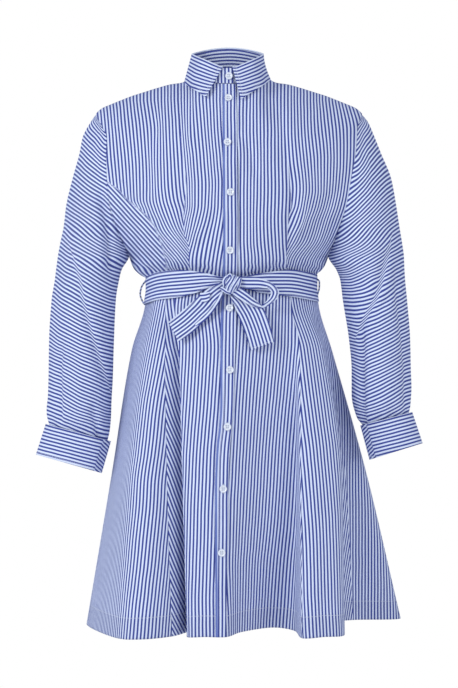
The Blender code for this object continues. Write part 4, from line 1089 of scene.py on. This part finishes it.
def striped_poplin(name, rows=(), plain=0.0, hem=0.0):
    """Yarn-dyed cotton poplin: matt, with even stripes woven in and a faint slub along them.

    rows are the stitched lines, as the axis of the sewing map and the distance from that edge in
    millimetres; plain is the width of a plain blue strip on the first edge, and hem the depth of
    the two layers of cloth above the lower edge, which are painted a little darker as painted
    shade.
    """
    material, tree, shader = new_finish(name, 0.82)
    shader.inputs["Sheen Weight"].default_value = 0.1
    shader.inputs["Sheen Roughness"].default_value = 0.5
    shader.inputs["Sheen Tint"].default_value = linear("#C8D2FF")
    place = add(tree, "TexCoord", out="Object")
    flat = add(tree, "SeparateXYZ", add(tree, "UVMap", uv_map="cloth")).node.outputs
    # the cloth never hangs quite even, so its stripes waver by a third of a millimetre
    waver = add(tree, "TexNoise", place, named={"Scale": 26.0, "Detail": 1.0})
    across = add(tree, "Math", waver, 0.0011, flat[0], operation="MULTIPLY_ADD")
    count = add(tree, "Math", across, STRIPE * MM, operation="DIVIDE")
    within = add(tree, "Math", count, operation="FRACT")
    off_middle = add(tree, "Math", within, 0.5, operation="SUBTRACT")
    off_middle = add(tree, "Math", off_middle, operation="ABSOLUTE")
    # half of each pair is blue; the two yarns blend over a twentieth of it
    blend = add(tree, "MapRange", off_middle, 0.225, 0.275, **SMOOTH)
    colour = add(tree, "Mix", blend, named={6: linear(BLUE), 7: linear(WHITE)}, **COLOURS)
    # slubs: threads of 0.25 mm drawn 1.5 mm wide and 40 mm long, so that they show
    by_slub = add(tree, "Math", across, SLUB_ACROSS, operation="MULTIPLY")
    along = add(tree, "Math", flat[1], SLUB_ALONG, operation="MULTIPLY")
    slub = add(tree, "TexNoise", add(tree, "CombineXYZ", by_slub, along), named={"Scale": 1.0})
    shade = add(tree, "MapRange", slub, 0.3, 0.7, 0.93, 1.05)
    # plain weave: 0.25 mm threads drawn as coarse as 1 mm, so that they show
    turns = (add(tree, "Math", way, WEAVE_TURN, operation="MULTIPLY") for way in (across, flat[1]))
    warp, weft = (add(tree, "Math", turn, operation="SINE") for turn in turns)
    weave = add(tree, "Math", warp, weft, operation="MULTIPLY")
    relief = add(tree, "Math", weave, 0.000015, operation="MULTIPLY")
    crumple = add(tree, "TexNoise", place, named={"Scale": 34.0, "Detail": 3.0, "Roughness": 0.55})
    relief = add(tree, "Math", crumple, 0.0009, relief, operation="MULTIPLY_ADD")
    if rows:
        sewn = add(tree, "SeparateXYZ", add(tree, "UVMap", uv_map="sewing")).node.outputs
    if plain:
        inside = add(tree, "MapRange", sewn[0], (plain - 0.4) * MM, (plain + 0.4) * MM)
        colour = add(tree, "Mix", inside, named={6: linear(PLAIN), 7: colour}, **COLOURS)
    if hem:
        # painted shade: the hem's two layers are painted darker, for the less light that they let
        # through
        hem_painted_shade = add(tree, "MapRange", sewn[1], (hem - 1) * MM, hem * MM, 0.93, 1.0)
        shade = add(tree, "Math", shade, hem_painted_shade, operation="MULTIPLY")
    grey = add(tree, "CombineColor", shade, shade, shade)
    colour = add(tree, "Mix", 1.0, named={6: colour, 7: grey}, blend_type="MULTIPLY", **COLOURS)
    for axis, distance in rows:
        off = add(tree, "Math", sewn[axis], distance * MM, operation="SUBTRACT")
        off = add(tree, "Math", off, operation="ABSOLUTE")
        # 0.3 mm thread in 3 mm stitches, drawn 0.8 mm wide
        line = add(tree, "MapRange", off, 0.0003, 0.0005, 1.0, 0.0)
        stitch = add(tree, "Math", sewn[1 - axis], STITCH, operation="DIVIDE")
        stitch = add(tree, "Math", stitch, operation="FRACT")
        stitch = add(tree, "Math", stitch, STITCH_PART, operation="LESS_THAN")
        stitch = add(tree, "Math", line, stitch, operation="MULTIPLY")
        tint = add(tree, "Math", stitch, 0.6, operation="MULTIPLY")
        colour = add(tree, "Mix", tint, named={6: colour, 7: linear(THREAD)}, **COLOURS)
        # the thread draws the cloth in by half a millimetre, 2 mm to either side
        groove = add(tree, "MapRange", off, 0.0, 0.0022, -0.00045, 0.0, **SMOOTH)
        relief = add(tree, "Math", relief, groove, operation="ADD")
        relief = add(tree, "Math", stitch, 0.0002, relief, operation="MULTIPLY_ADD")
    tree.links.new(colour, shader.inputs["Base Color"])
    bump = add(tree, "Bump", named={"Height": relief, "Distance": 1.0, "Strength": 1.0})
    tree.links.new(bump, shader.inputs["Normal"])
    return material


def button_resin():
    """Cast polyester shirt button: white and glossy, with a pearly cloud in it."""
    material, tree, shader = new_finish("button_resin", 0.22)
    shader.inputs["Coat Weight"].default_value = 0.4
    shader.inputs["Coat Roughness"].default_value = 0.1
    place = add(tree, "TexCoord", out="Object")
    cloud = add(tree, "TexNoise", place, named={"Scale": 260.0, "Detail": 2.0, "Distortion": 1.2})
    shades = {6: linear("#DDE1EC"), 7: linear("#FBFCFF")}
    tree.links.new(add(tree, "Mix", cloud, named=shades, **COLOURS), shader.inputs["Base Color"])
    return material


def twisted_thread(name, dark, pale, twist, bands_direction):
    """Mercerised cotton thread: a soft gloss, and a band every twist millimetres for its twist."""
    material, tree, shader = new_finish(name, 0.6)
    shader.inputs["Sheen Weight"].default_value = 0.2
    place = add(tree, "TexCoord", out="Object")
    scale = 1 / (twist * MM * 2 * math.pi) * 2
    bands = add(tree, "TexWave", place, named={"Scale": scale, "Distortion": 0.6},
                bands_direction=bands_direction)
    shades = {6: linear(dark), 7: linear(pale)}
    tree.links.new(add(tree, "Mix", bands, named=shades, **COLOURS), shader.inputs["Base Color"])
    bump = add(tree, "Bump", named={"Height": bands, "Distance": 0.0002, "Strength": 0.8})
    tree.links.new(bump, shader.inputs["Normal"])
    return material


# ---------------------------------------------------------------- cloth from grids
def mesh_of(bm, name):
    mesh = bpy.data.meshes.new(name)
    bm.to_mesh(mesh)
    bm.free()
    return mesh


def in_scene(name, data):
    obj = bpy.data.objects.new(name, data)
    bpy.context.scene.collection.objects.link(obj)
    return obj


def keep(data, name, finish, node=None):
    """Piece in place of the node of its name; an empty node means that it stands for none."""
    obj = in_scene(name + "_piece", data)
    data.materials.append(finish)
    if isinstance(data, bpy.types.Mesh):
        data.shade_smooth()
    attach(obj, "root")
    if node != "":
        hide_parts(node or name)
    return obj


class Lattice:
    """Points of a grid of cloth by row and column, with the distances along it in millimetres."""

    def __init__(self, u, drawn):
        self.u = u
        self.columns = u.shape[1] - 1
        self.across, _, self.height = drawn
        self.points = placed(*drawn)
        self.along_row = self.run(1)
        self.down = self.run(0)
        self.up = self.down[-1] - self.down
        self.from_sides = np.minimum(self.along_row, self.along_row[:, [-1]] - self.along_row)

    def run(self, axis):
        steps = np.linalg.norm(np.diff(self.points, axis=axis), axis=-1)
        start = np.zeros_like(np.take(steps, [0], axis))
        return np.cumsum(np.concatenate([start, steps], axis), axis)

    def from_column(self, column):
        return self.along_row - self.along_row[:, [column]]


def cloth(name, columns, rows, place, weave, finish, wall=CLOTH, sewing=None, node=None):
    """Sheet of cloth over place(u, v), which gives drawn points.

    weave(lattice) gives its zones: first and last column, then the place on the flat cloth, across
    the stripes and along them. sewing(lattice) gives the distance from an edge and along it.
    """
    bm = bmesh.new()
    bmesh.ops.create_grid(bm, x_segments=columns, y_segments=rows, size=1)
    grid = np.array([vert.co[:2] for vert in bm.verts])
    column = np.rint((grid[:, 0] + 1) / 2 * columns).astype(int)
    row = np.rint((1 - grid[:, 1]) / 2 * rows).astype(int)
    v, u = np.meshgrid(np.linspace(0, 1, rows + 1), np.linspace(0, 1, columns + 1), indexing="ij")
    drawn = [np.reshape(part, u.shape) for part in place(u.ravel(), v.ravel())]
    lattice = Lattice(u, drawn)
    for vert, point in zip(bm.verts, lattice.points[row, column] * MM):
        vert.co = point
    mesh = mesh_of(bm, name)
    corners = np.empty(len(mesh.loops), int)
    mesh.loops.foreach_get("vertex_index", corners)
    rows_at = row[corners]
    columns_at = column[corners]
    first = np.repeat(columns_at.reshape(-1, 4).min(1), 4)
    flat = np.zeros((len(corners), 2))
    for start, end, across, along in weave(lattice):
        mine = (first >= start) & (first < end)
        flat[mine, 0] = across[rows_at[mine], columns_at[mine]]
        flat[mine, 1] = along[rows_at[mine], columns_at[mine]]
    mesh.uv_layers.new(name="cloth").data.foreach_set("uv", (flat * MM).ravel())
    if sewing:
        from_side, from_end = sewing(lattice)
        near = np.stack([from_side[rows_at, columns_at], from_end[rows_at, columns_at]], -1)
        mesh.uv_layers.new(name="sewing").data.foreach_set("uv", (near * MM).ravel())
    obj = keep(mesh, name, finish, node)
    thicken = obj.modifiers.new("cloth_wall", "SOLIDIFY")
    thicken.thickness = wall * MM
    thicken.offset = 0
    thicken.use_even_offset = False
    thicken.use_rim = True
    return obj


def through(value, keys, values):
    """Straight lines through each point's own keys, going on at the same slope beyond them."""
    piece = (keys[..., 1:-1] <= value[..., None]).sum(-1)[..., None]
    low, high = (np.take_along_axis(keys, piece + k, -1)[..., 0] for k in (0, 1))
    start, end = (values[piece[..., 0] + k] for k in (0, 1))
    return start + (end - start) * (value - low) / (high - low)


def by_height(rows, height):
    """Rows of numbers, named by their heights, as smooth curves at other heights."""
    levels = sorted(rows)
    columns = np.array([rows[level] for level in levels], float).T
    return np.stack([curve(levels, column, height) for column in columns], -1)


def counted(table, lattice):
    """Cloth place across the stripes of a front, from where its counted stripes run."""
    # the gathers above the belt throw each stripe a little from side to side
    thrown = np.sin(lattice.height / 2.7 + lattice.across / 8) * np.sin(lattice.across / 17)
    thrown = GATHER_THROW * thrown * (1 - ease(*GATHER_THROW_HEIGHTS, lattice.height))
    across = lattice.across + thrown * ease(*GATHER_THROW_START, np.abs(lattice.across))
    runs = by_height(table["runs"], lattice.height)
    stripes = through(across, runs, np.array(table["stripe"]) * STRIPE)
    if "fold" not in table:
        return stripes
    fanned = (across + FAN_SLOPE * lattice.height) * STRIPE / FAN_PITCH
    return np.where(lattice.across < read(table["fold"], "across", lattice.height), fanned, stripes)


def front_weave(inner, outer):
    def weave(lattice):
        split = round(lattice.columns * FRONT_INNER)
        return (
            (0, split, counted(inner, lattice), lattice.down),
            (split, lattice.columns, counted(outer, lattice), lattice.down),
        )

    return weave


def from_middle(lattice):
    """Upright stripes counted from the middle column."""
    return ((0, lattice.columns, lattice.from_column(lattice.columns // 2), lattice.down),)


def skirt_weave(*zones):
    """Zones of stripes, each measured from a bound of the panel, less their drift from it.

    A zone has its number of equal parts of the panel, the number of the bound, the drift's table
    and column, and whether it is measured in elevation or along the cloth.
    """
    def weave(lattice):
        parts = sum(zone[0] for zone in zones)
        made = []
        first = 0
        for width, bound, drift, column, drawn in zones:
            last = first + width
            line = lattice.across if drawn else lattice.along_row
            start = line[:, [lattice.columns * bound // parts]]
            place = line - start - read(drift, column, lattice.height)
            ends = (lattice.columns * end // parts for end in (first, last))
            made.append((*ends, place, lattice.down))
            first = last
        return made

    return weave


def sag(table, part, height):
    """Sag of the stripes; the mean of three close places rounds its bends off."""
    at = by_height(table["sags"], height)
    parts = np.array(table["part"])
    total = 0
    for shift in (-0.03, 0, 0.03):
        moved = np.clip(part + shift, 0, 1)
        k = np.clip(np.searchsorted(parts, moved) - 1, 0, len(parts) - 2)
        share = (moved - parts[k]) / (parts[k + 1] - parts[k])
        low = np.take_along_axis(at, k[..., None], -1)[..., 0]
        high = np.take_along_axis(at, k[..., None] + 1, -1)[..., 0]
        total = total + (low + (high - low) * share) / 3
    return total


def sleeve_weave(side):
    table = SAG_RIGHT if side < 0 else SAG_LEFT
    drops = DROPS_RIGHT if side < 0 else DROPS_LEFT

    def weave(lattice):
        start = seam_angle(side, lattice.height)
        angle = start + lattice.u * (2 * math.pi - 2 * start)
        part = (1 + np.cos(angle)) / (1 + np.cos(start))
        level = lattice.height + sag(table, part, lattice.height)
        for *points, drop, half in drops:
            off, along = off_line(points, lattice.across, lattice.height)
            fade = ease(-0.2, 0.12, along) * (1 - ease(0.88, 1.2, along))
            level = level + drop * fade * ease(-half, half, side * off)
        return ((0, lattice.columns, level * SLEEVE_LEAN, lattice.along_row),)

    return weave


def cuff_weave(lattice):
    """Stripes along the cuff; they fall across its turned end."""
    first, last = (
        round(lattice.columns * (turn - CUFF_START) / CUFF_ROUND)
        for turn in (2 * math.pi, CUFF_TURN)
    )
    fallen = lattice.down + CUFF_TURN_SLOPE * lattice.from_column(last)
    return (
        (0, first, lattice.down, lattice.along_row),
        (first, last, fallen, lattice.along_row),
        (last, lattice.columns, lattice.down, lattice.along_row),
    )


def edge_weave(lattice):
    """One white stripe runs down the middle of a narrow turned edge."""
    middle = lattice.columns // 2
    return ((0, lattice.columns, lattice.from_column(middle) + STRIPE, lattice.down),)


def fold_weave(lattice):
    """Stripes of the collar, counted from its fold, which falls on a white one."""
    return ((0, lattice.columns, lattice.down - COLLAR_FOLD_STRIPE, lattice.along_row),)


def stand_weave(lattice):
    """The stand's ends are cut with upright stripes, to meet the placket's; the rest runs round."""
    last = lattice.columns
    lap = last // 10
    return (
        (0, lap, lattice.from_sides, lattice.down),
        (lap, last - lap, lattice.down, lattice.along_row),
        (last - lap, last, lattice.from_sides, lattice.down),
    )


def middle_weave(lattice):
    """Stripes that run along the rows, counted from the middle row."""
    middle = lattice.down[len(lattice.down) // 2]
    return ((0, lattice.columns, lattice.down - middle, lattice.along_row),)


def long_edges(lattice):
    """Distance from the nearer of the first and last rows, and along the rows."""
    return np.minimum(lattice.down, lattice.up), lattice.along_row


def leaf_edges(lattice):
    """Distance from the outer edge of the collar or its nearer end, and along it."""
    return np.minimum(lattice.up, lattice.from_sides), lattice.along_row + lattice.down


def ribbon_edges(lattice):
    """Distance from the nearer side or from the cut end, and along the ribbon."""
    return np.minimum(lattice.from_sides, lattice.up), lattice.down + lattice.along_row


def placket_edges(lattice):
    """Distance from the sewn edge, and from the top."""
    return lattice.along_row, lattice.down


def above_hem(lattice):
    """Distance along the skirt from its first edge, and above its hem."""
    return lattice.along_row, lattice.up


# ---------------------------------------------------------------- buttons and threads
BUTTON_PROFILE = (
    (0, 0.15), (0.6, 0.12), (0.92, 0.3), (1.0, 0.55), (0.97, 0.85), (0.86, 1.0), (0.74, 0.92),
    (0.62, 0.66), (0.3, 0.58), (0, 0.58),
)
HOLE_RADIUS = 0.75
HOLE_PLACE = 1.45         # from the middle, each way
BAR_RADIUS = 0.3          # thread through the holes
BAR_LENGTH = 2.9
BAR_SHIFT = 0.28
BAR_HEIGHT = 0.62 * BUTTON_THICKNESS + 0.2
BUTTONHOLE = (1.15, 7.4)
SLOT_PART = (0.3, 0.9)    # the slot against the stitched edge round it
STITCH_RISE = 0.25
LOOP_STATIONS = 72
CHAIN_SWELL = 0.28        # of each link of the chain
CHAIN_LINK = 1.55         # turn of the swell from one station to the next


def button_blank():
    """Turned button with four holes, lying on the middle of the scene."""
    bm = bmesh.new()
    radius = BUTTON_DIAMETER / 2
    verts = [
        bm.verts.new((r * radius * MM, 0, h * BUTTON_THICKNESS * MM)) for r, h in BUTTON_PROFILE
    ]
    edges = [bm.edges.new(pair) for pair in zip(verts, verts[1:])]
    bmesh.ops.spin(bm, geom=verts + edges, cent=(0, 0, 0), axis=(0, 0, 1), angle=2 * math.pi,
                   steps=36, use_merge=True)
    bmesh.ops.remove_doubles(bm, verts=bm.verts, dist=0.01 * MM)
    bmesh.ops.recalc_face_normals(bm, faces=bm.faces)
    blank = in_scene("button_blank", mesh_of(bm, "button_blank"))
    bm = bmesh.new()
    for x, y in ((-1, -1), (-1, 1), (1, -1), (1, 1)):
        made = bmesh.ops.create_cone(bm, cap_ends=True, segments=12, radius1=HOLE_RADIUS * MM,
                                     radius2=HOLE_RADIUS * MM, depth=9 * MM)
        off = (x * HOLE_PLACE * MM, y * HOLE_PLACE * MM, 0)
        bmesh.ops.translate(bm, verts=made["verts"], vec=off)
    cutter = in_scene("hole_cutter", mesh_of(bm, "hole_cutter"))
    drill = blank.modifiers.new("holes", "BOOLEAN")
    drill.object = cutter
    drill.operation = "DIFFERENCE"
    drill.solver = "EXACT"
    graph = bpy.context.evaluated_depsgraph_get()
    mesh = bpy.data.meshes.new_from_object(blank.evaluated_get(graph))
    for obj in (blank, cutter):
        bpy.data.objects.remove(obj, do_unlink=True)
    return mesh


def turned(point, facing):
    """Matrix from the origin to a point, facing a way; what lay along y stays upright."""
    turn = Vector(facing).to_track_quat("Z", "Y").to_matrix().to_4x4()
    turn.translation = point
    return turn


def button_threads(bm, place):
    """Two double bars of thread through the holes."""
    lying = Vector((1, 0, 0)).to_track_quat("Z", "Y").to_matrix()
    for y in (-HOLE_PLACE, HOLE_PLACE):
        for shift in (-BAR_SHIFT, BAR_SHIFT):
            verts = bmesh.ops.create_cone(bm, cap_ends=True, segments=8, radius1=BAR_RADIUS * MM,
                                          radius2=BAR_RADIUS * MM, depth=BAR_LENGTH * MM)["verts"]
            bmesh.ops.rotate(bm, verts=verts, cent=(0, 0, 0), matrix=lying)
            bmesh.ops.translate(bm, verts=verts, vec=(0, (y + shift) * MM, BAR_HEIGHT * MM))
            bmesh.ops.transform(bm, matrix=place, verts=verts)


def buttonhole(bm, place):
    """Upright slot edged with satin stitch."""
    made = bmesh.ops.create_circle(bm, segments=28, radius=1)["verts"]
    round_it = dict.fromkeys(edge for vert in made for edge in vert.link_edges)
    inner = bmesh.ops.extrude_edge_only(bm, edges=list(round_it))
    verts = [part for part in inner["geom"] if isinstance(part, bmesh.types.BMVert)]
    bmesh.ops.scale(bm, verts=verts, vec=(*SLOT_PART, 1))
    bmesh.ops.scale(bm, verts=made + verts, vec=(*(side * MM for side in BUTTONHOLE), 1))
    bmesh.ops.translate(bm, verts=verts, vec=(0, 0, STITCH_RISE * MM))
    bmesh.ops.transform(bm, matrix=place, verts=made + verts)


def button_places():
    """Name, foot and facing of each button."""
    found = []
    for number in range(1, 11):
        name = f"button_{number:02d}"
        low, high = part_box(name)
        slope = BUTTON_LEAN
        if number > 1:
            across, height = BUTTONS[number - 2]
            slope = front_slope(on_bodice if height > WAIST else on_skirt, across, height)
        facing = Vector((0, -1, slope)).normalized()
        found.append((name, (low + high) / 2 - facing * BUTTON_THICKNESS / 2 * MM, facing))
    for side in (-1, 1):
        name = f"cuff_button_{side_name(side)}"
        low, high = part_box(name)
        u = (CUFF_BUTTON + 2 * math.pi - CUFF_START) / CUFF_ROUND
        points = placed(*cuff(side)(np.array([u, u + 0.01, u]), np.array([0.5, 0.5, 0.6])))
        out = np.cross(points[1] - points[0], points[2] - points[0])
        facing = Vector(out * np.sign(out[1])).normalized()
        found.append((name, (low + high) / 2 - facing * BUTTON_THICKNESS / 2 * MM, facing))
    return found


def thread_loop(name, line, finish):
    """Thread belt loop, a chain of cotton sewn to the side seam above and below the belt."""
    data = bpy.data.curves.new(name, "CURVE")
    data.dimensions = "3D"
    data.bevel_depth = LOOP_THREAD_RADIUS * MM
    data.bevel_resolution = 3
    data.use_fill_caps = True
    spline = data.splines.new("POLY")
    spline.points.add(LOOP_STATIONS - 1)
    heights = np.linspace(line[0][1], line[-1][1], LOOP_STATIONS)
    across = curve([z for _, z in line[::-1]], [x for x, _ in line[::-1]], heights)
    for n, point in enumerate(placed(across, 0 * heights, heights) * MM):
        spline.points[n].co = (*point, 1)
        spline.points[n].radius = 1 + CHAIN_SWELL * math.sin(n * CHAIN_LINK)
    keep(data, name, finish)


def strand(bm, line, half_width, stand_off, middle, flat):
    """Rounded strip of cloth over the knot, along a line of drawn points."""
    keys = np.arange(len(line))
    reach = [x for x, _ in line], [z for _, z in line]
    made = bmesh.ops.create_uvsphere(bm, u_segments=28, v_segments=40, radius=1)["verts"]
    for vert in made:
        x, y, z = vert.co
        round_off = math.hypot(x, y)
        blunt = max(round_off, 1e-6) ** -STRAND_BLUNT
        at = (z + 1) / 2 * (len(line) - 1)
        here = np.array([curve(keys, values, at) for values in reach])
        ahead = np.array([curve(keys, values, min(at + 0.02, keys[-1])) for values in reach])
        back = np.array([curve(keys, values, max(at - 0.02, 0)) for values in reach])
        run = (ahead - back) / max(math.dist(ahead, back), 1e-6)
        side = x * blunt * half_width
        spot = here + side * np.array([run[1], -run[0]])
        bulge = math.sin(math.pi * (z + 1) / 2)
        deep = middle - stand_off * bulge + y * blunt * min(half_width, STRAND_THICK)
        # the cloth is fuller than the strand is wide, and starts inside a blue stripe
        flat[vert] = (side * 1.25 + 1.4, STRAND_LENGTH * (z + 1) / 2)
        vert.co = placed(spot[0], np.array(deep), spot[1]) * MM


def knot(finish):
    """Knot: a small round core, wrapped by strands that cross it from lower right to upper left."""
    bm = bmesh.new()
    flat = {}
    middle = -(read(BODY, "front", WAIST) + BELT_LIFT + KNOT["clearance"] + KNOT["half"][1])
    for vert in bmesh.ops.create_uvsphere(bm, u_segments=48, v_segments=32, radius=1)["verts"]:
        x, y, z = vert.co
        flat[vert] = (12 * (x - z), 12 * (x + z))
        across, height = (KNOT["centre"][k] + KNOT["half"][2 * k] * c for k, c in enumerate((x, z)))
        vert.co = placed(*map(np.array, (across, middle + KNOT["half"][1] * y, height))) * MM
    for *line, half_width, stand_off in KNOT_STRANDS:
        strand(bm, line, half_width, stand_off, middle, flat)
    uv = bm.loops.layers.uv.new("cloth")
    for face in bm.faces:
        for loop in face.loops:
            loop[uv].uv = [place * MM for place in flat[loop.vert]]
    return keep(mesh_of(bm, "bow_knot"), "bow_knot", finish)


# ---------------------------------------------------------------- making the dress
poplin = striped_poplin("poplin")
skirt_poplin = striped_poplin("poplin_hemmed", rows=((1, 32),), hem=32)
placket_poplin = striped_poplin("poplin_placket", rows=((0, 6),), plain=3.2)
cuff_poplin = striped_poplin("poplin_stitched", rows=((0, 4),))
collar_poplin = striped_poplin("poplin_collar", rows=((0, 5),))
belt_poplin = striped_poplin("poplin_belt", rows=((0, 2.5),))
resin = button_resin()
thread = twisted_thread("cotton_thread", "#AEB8D8", "#EEF1FB", 1.2, "DIAGONAL")
loop_thread = twisted_thread("cotton_loop_thread", "#18225A", "#C4CDF0", 5.5, "Z")

cloth("bodice_front_right", 100, 120, front_panel(-1),
      front_weave(RIGHT_FRONT_INNER, RIGHT_FRONT_OUTER), poplin)
cloth("bodice_front_left", 100, 120, front_panel(1),
      front_weave(LEFT_FRONT_INNER, LEFT_FRONT_OUTER), poplin)
cloth("bodice_back", 140, 100, back_panel, from_middle, poplin)
for side in (-1, 1):
    cloth(f"sleeve_{side_name(side)}", 150, 170, sleeve(side), sleeve_weave(side), poplin)
    cloth(f"cuff_{side_name(side)}", 150, 20, cuff(side), cuff_weave, cuff_poplin,
          sewing=long_edges)

# each panel of the skirt: its columns, the ribs that bound its zones, and its weave
SKIRT_PANELS = (
    ("skirt_front_right", 96,
     ("gore_seam_right", "pleat_inner_right", "pleat_edge_right", "front_right", None),
     skirt_weave((2, 0, DRIFT_PLEAT, "right", True), (2, 2, DRIFT_FRONT, "right", False))),
    ("skirt_side_right", 60, ("side_right", "gore_seam_right"),
     skirt_weave((1, 1, DRIFT_SIDE, "right", False))),
    ("skirt_back", 200, ("side_left", "side_right"), from_middle),
    ("skirt_side_left", 120,
     ("pleat_edge_left", "lobe_left", "lobe_edge_left", "valley_side_left", "side_front_left",
      "side_left"),
     skirt_weave((4, 0, DRIFT_SIDE, "left", False), (1, 4, DRIFT_LOBE, "left", False))),
    ("skirt_front_left", 80,
     (None, "front_left", "valley_front_left", "step_left", "pleat_edge_left"),
     skirt_weave((4, 1, DRIFT_FRONT, "left", False))),
)
for name, columns, bounds, weave in SKIRT_PANELS:
    cloth(name, columns, 130, skirt_panel(*bounds), weave, skirt_poplin, sewing=above_hem)

for name, rows, surface in (("placket_bodice", 150, on_bodice), ("placket_skirt", 220, on_skirt)):
    cloth(name, 12, rows, placket(surface), from_middle, placket_poplin, sewing=placket_edges)

cloth("collar_stand", 160, 12, stand_place, stand_weave, poplin, wall=COLLAR_CLOTH)
cloth("collar_fall", 160, 24, collar_place, fold_weave, collar_poplin, wall=COLLAR_CLOTH,
      sewing=leaf_edges)

cloth("belt_band", 240, 20, belt, middle_weave, belt_poplin, wall=BELTING, sewing=long_edges)
for name, columns, rows, stations, folds in (
    ("bow_loop", 20, 130, BOW_LOOP, lambda u, v: 1.2 * np.sin(math.pi * u)),
    ("bow_tail_right", 24, 60, TAIL_RIGHT, lambda u, v: 1.4 * np.cos(2 * math.pi * u) * (1 - v)),
    ("bow_tail_left", 24, 60, TAIL_LEFT, lambda u, v: 1.4 * np.cos(2 * math.pi * u) * (1 - v)),
):
    cloth(name, columns, rows, ribbon(stations, folds), from_middle, belt_poplin, wall=BELTING,
          sewing=ribbon_edges)
cloth("bow_turn_right", 10, 12, ribbon(TURN_RIGHT, lambda u, v: 0 * u), from_middle, poplin,
      node="")
cloth("bow_edge_right", 8, 50, ribbon(TURNED_EDGE_RIGHT, lambda u, v: 0.4 * np.sin(math.pi * u)),
      edge_weave, poplin, node="")
knot(poplin)

blank = button_blank()
threads = bmesh.new()
holes = bmesh.new()
for name, foot, facing in button_places():
    mesh = blank.copy()
    place = turned(foot, facing)
    mesh.transform(place)
    keep(mesh, name, resin)
    button_threads(threads, place)
    if name.startswith("button") and name != "button_01":
        buttonhole(holes, turned(foot - facing * BUTTONHOLE_SINK * MM, facing))
for bm, name in ((threads, "button_threads"), (holes, "buttonholes")):
    keep(mesh_of(bm, name), name, thread, node="")
thread_loop("belt_loop_right", THREAD_LOOP_RIGHT, loop_thread)
thread_loop("belt_loop_left", THREAD_LOOP_LEFT, loop_thread)


# ---------------------------------------------------------------- floor, light and camera
# name, place, what it points at, size in metres and watts
LIGHTS = (
    ("key", (-2.0, -2.3, 0.8), (0, 0, -0.4), 1.0, 37),
    ("side", (-2.7, -1.3, -0.5), (0, 0, -0.5), 0.8, 11),
    ("fill", (1.9, -2.2, 0.1), (0, 0, -0.4), 1.8, 21),
)
LENS = 99.36
SENSOR = 36
FLOOR_RADIUS = 1.6
FLOOR_LEVEL = -1.3


def light(name, place, aim, size, power):
    data = bpy.data.lights.new(name, "AREA")
    data.size = size
    data.energy = power
    data.color = (0.93, 0.98, 1.0)
    lamp = in_scene(name, data)
    lamp.location = place
    lamp.rotation_euler = (Vector(aim) - Vector(place)).to_track_quat("-Z", "Y").to_euler()


def studio():
    world = bpy.data.worlds.new("studio")
    world.use_nodes = True
    bpy.context.scene.world = world
    tree = world.node_tree
    shown = tree.nodes["Background"]
    shown.inputs["Color"].default_value = (1, 1, 1, 1)
    shown.inputs["Strength"].default_value = 1.0
    lighting = add(tree, "Background", (0.86, 0.93, 1.1, 1), 0.5)
    seen = add(tree, "LightPath", out="Is Camera Ray")
    mixed = add(tree, "MixShader", seen, lighting, shown.outputs[0])
    tree.links.new(mixed, tree.nodes["World Output"].inputs[0])

    bm = bmesh.new()
    bmesh.ops.create_circle(bm, cap_ends=True, segments=96, radius=FLOOR_RADIUS)
    bmesh.ops.translate(bm, verts=bm.verts, vec=(0, 0, FLOOR_LEVEL))
    floor = in_scene("floor", mesh_of(bm, "floor"))
    paper, _, shader = new_finish("pale_paper", 0.9)
    shader.inputs["Base Color"].default_value = linear("#ECECEE")
    floor.data.materials.append(paper)

    for lamp in LIGHTS:
        light(*lamp)

    data = bpy.data.cameras.new("camera")
    data.sensor_width = SENSOR
    data.lens = LENS
    camera = in_scene("camera", data)
    camera.location = (0, -DRAWING_DISTANCE * MM, DRAWING_LEVEL * MM)
    camera.rotation_euler = (math.pi / 2, 0, 0)
    bpy.context.scene.camera = camera
    bpy.context.scene.view_settings.view_transform = "Standard"


studio()
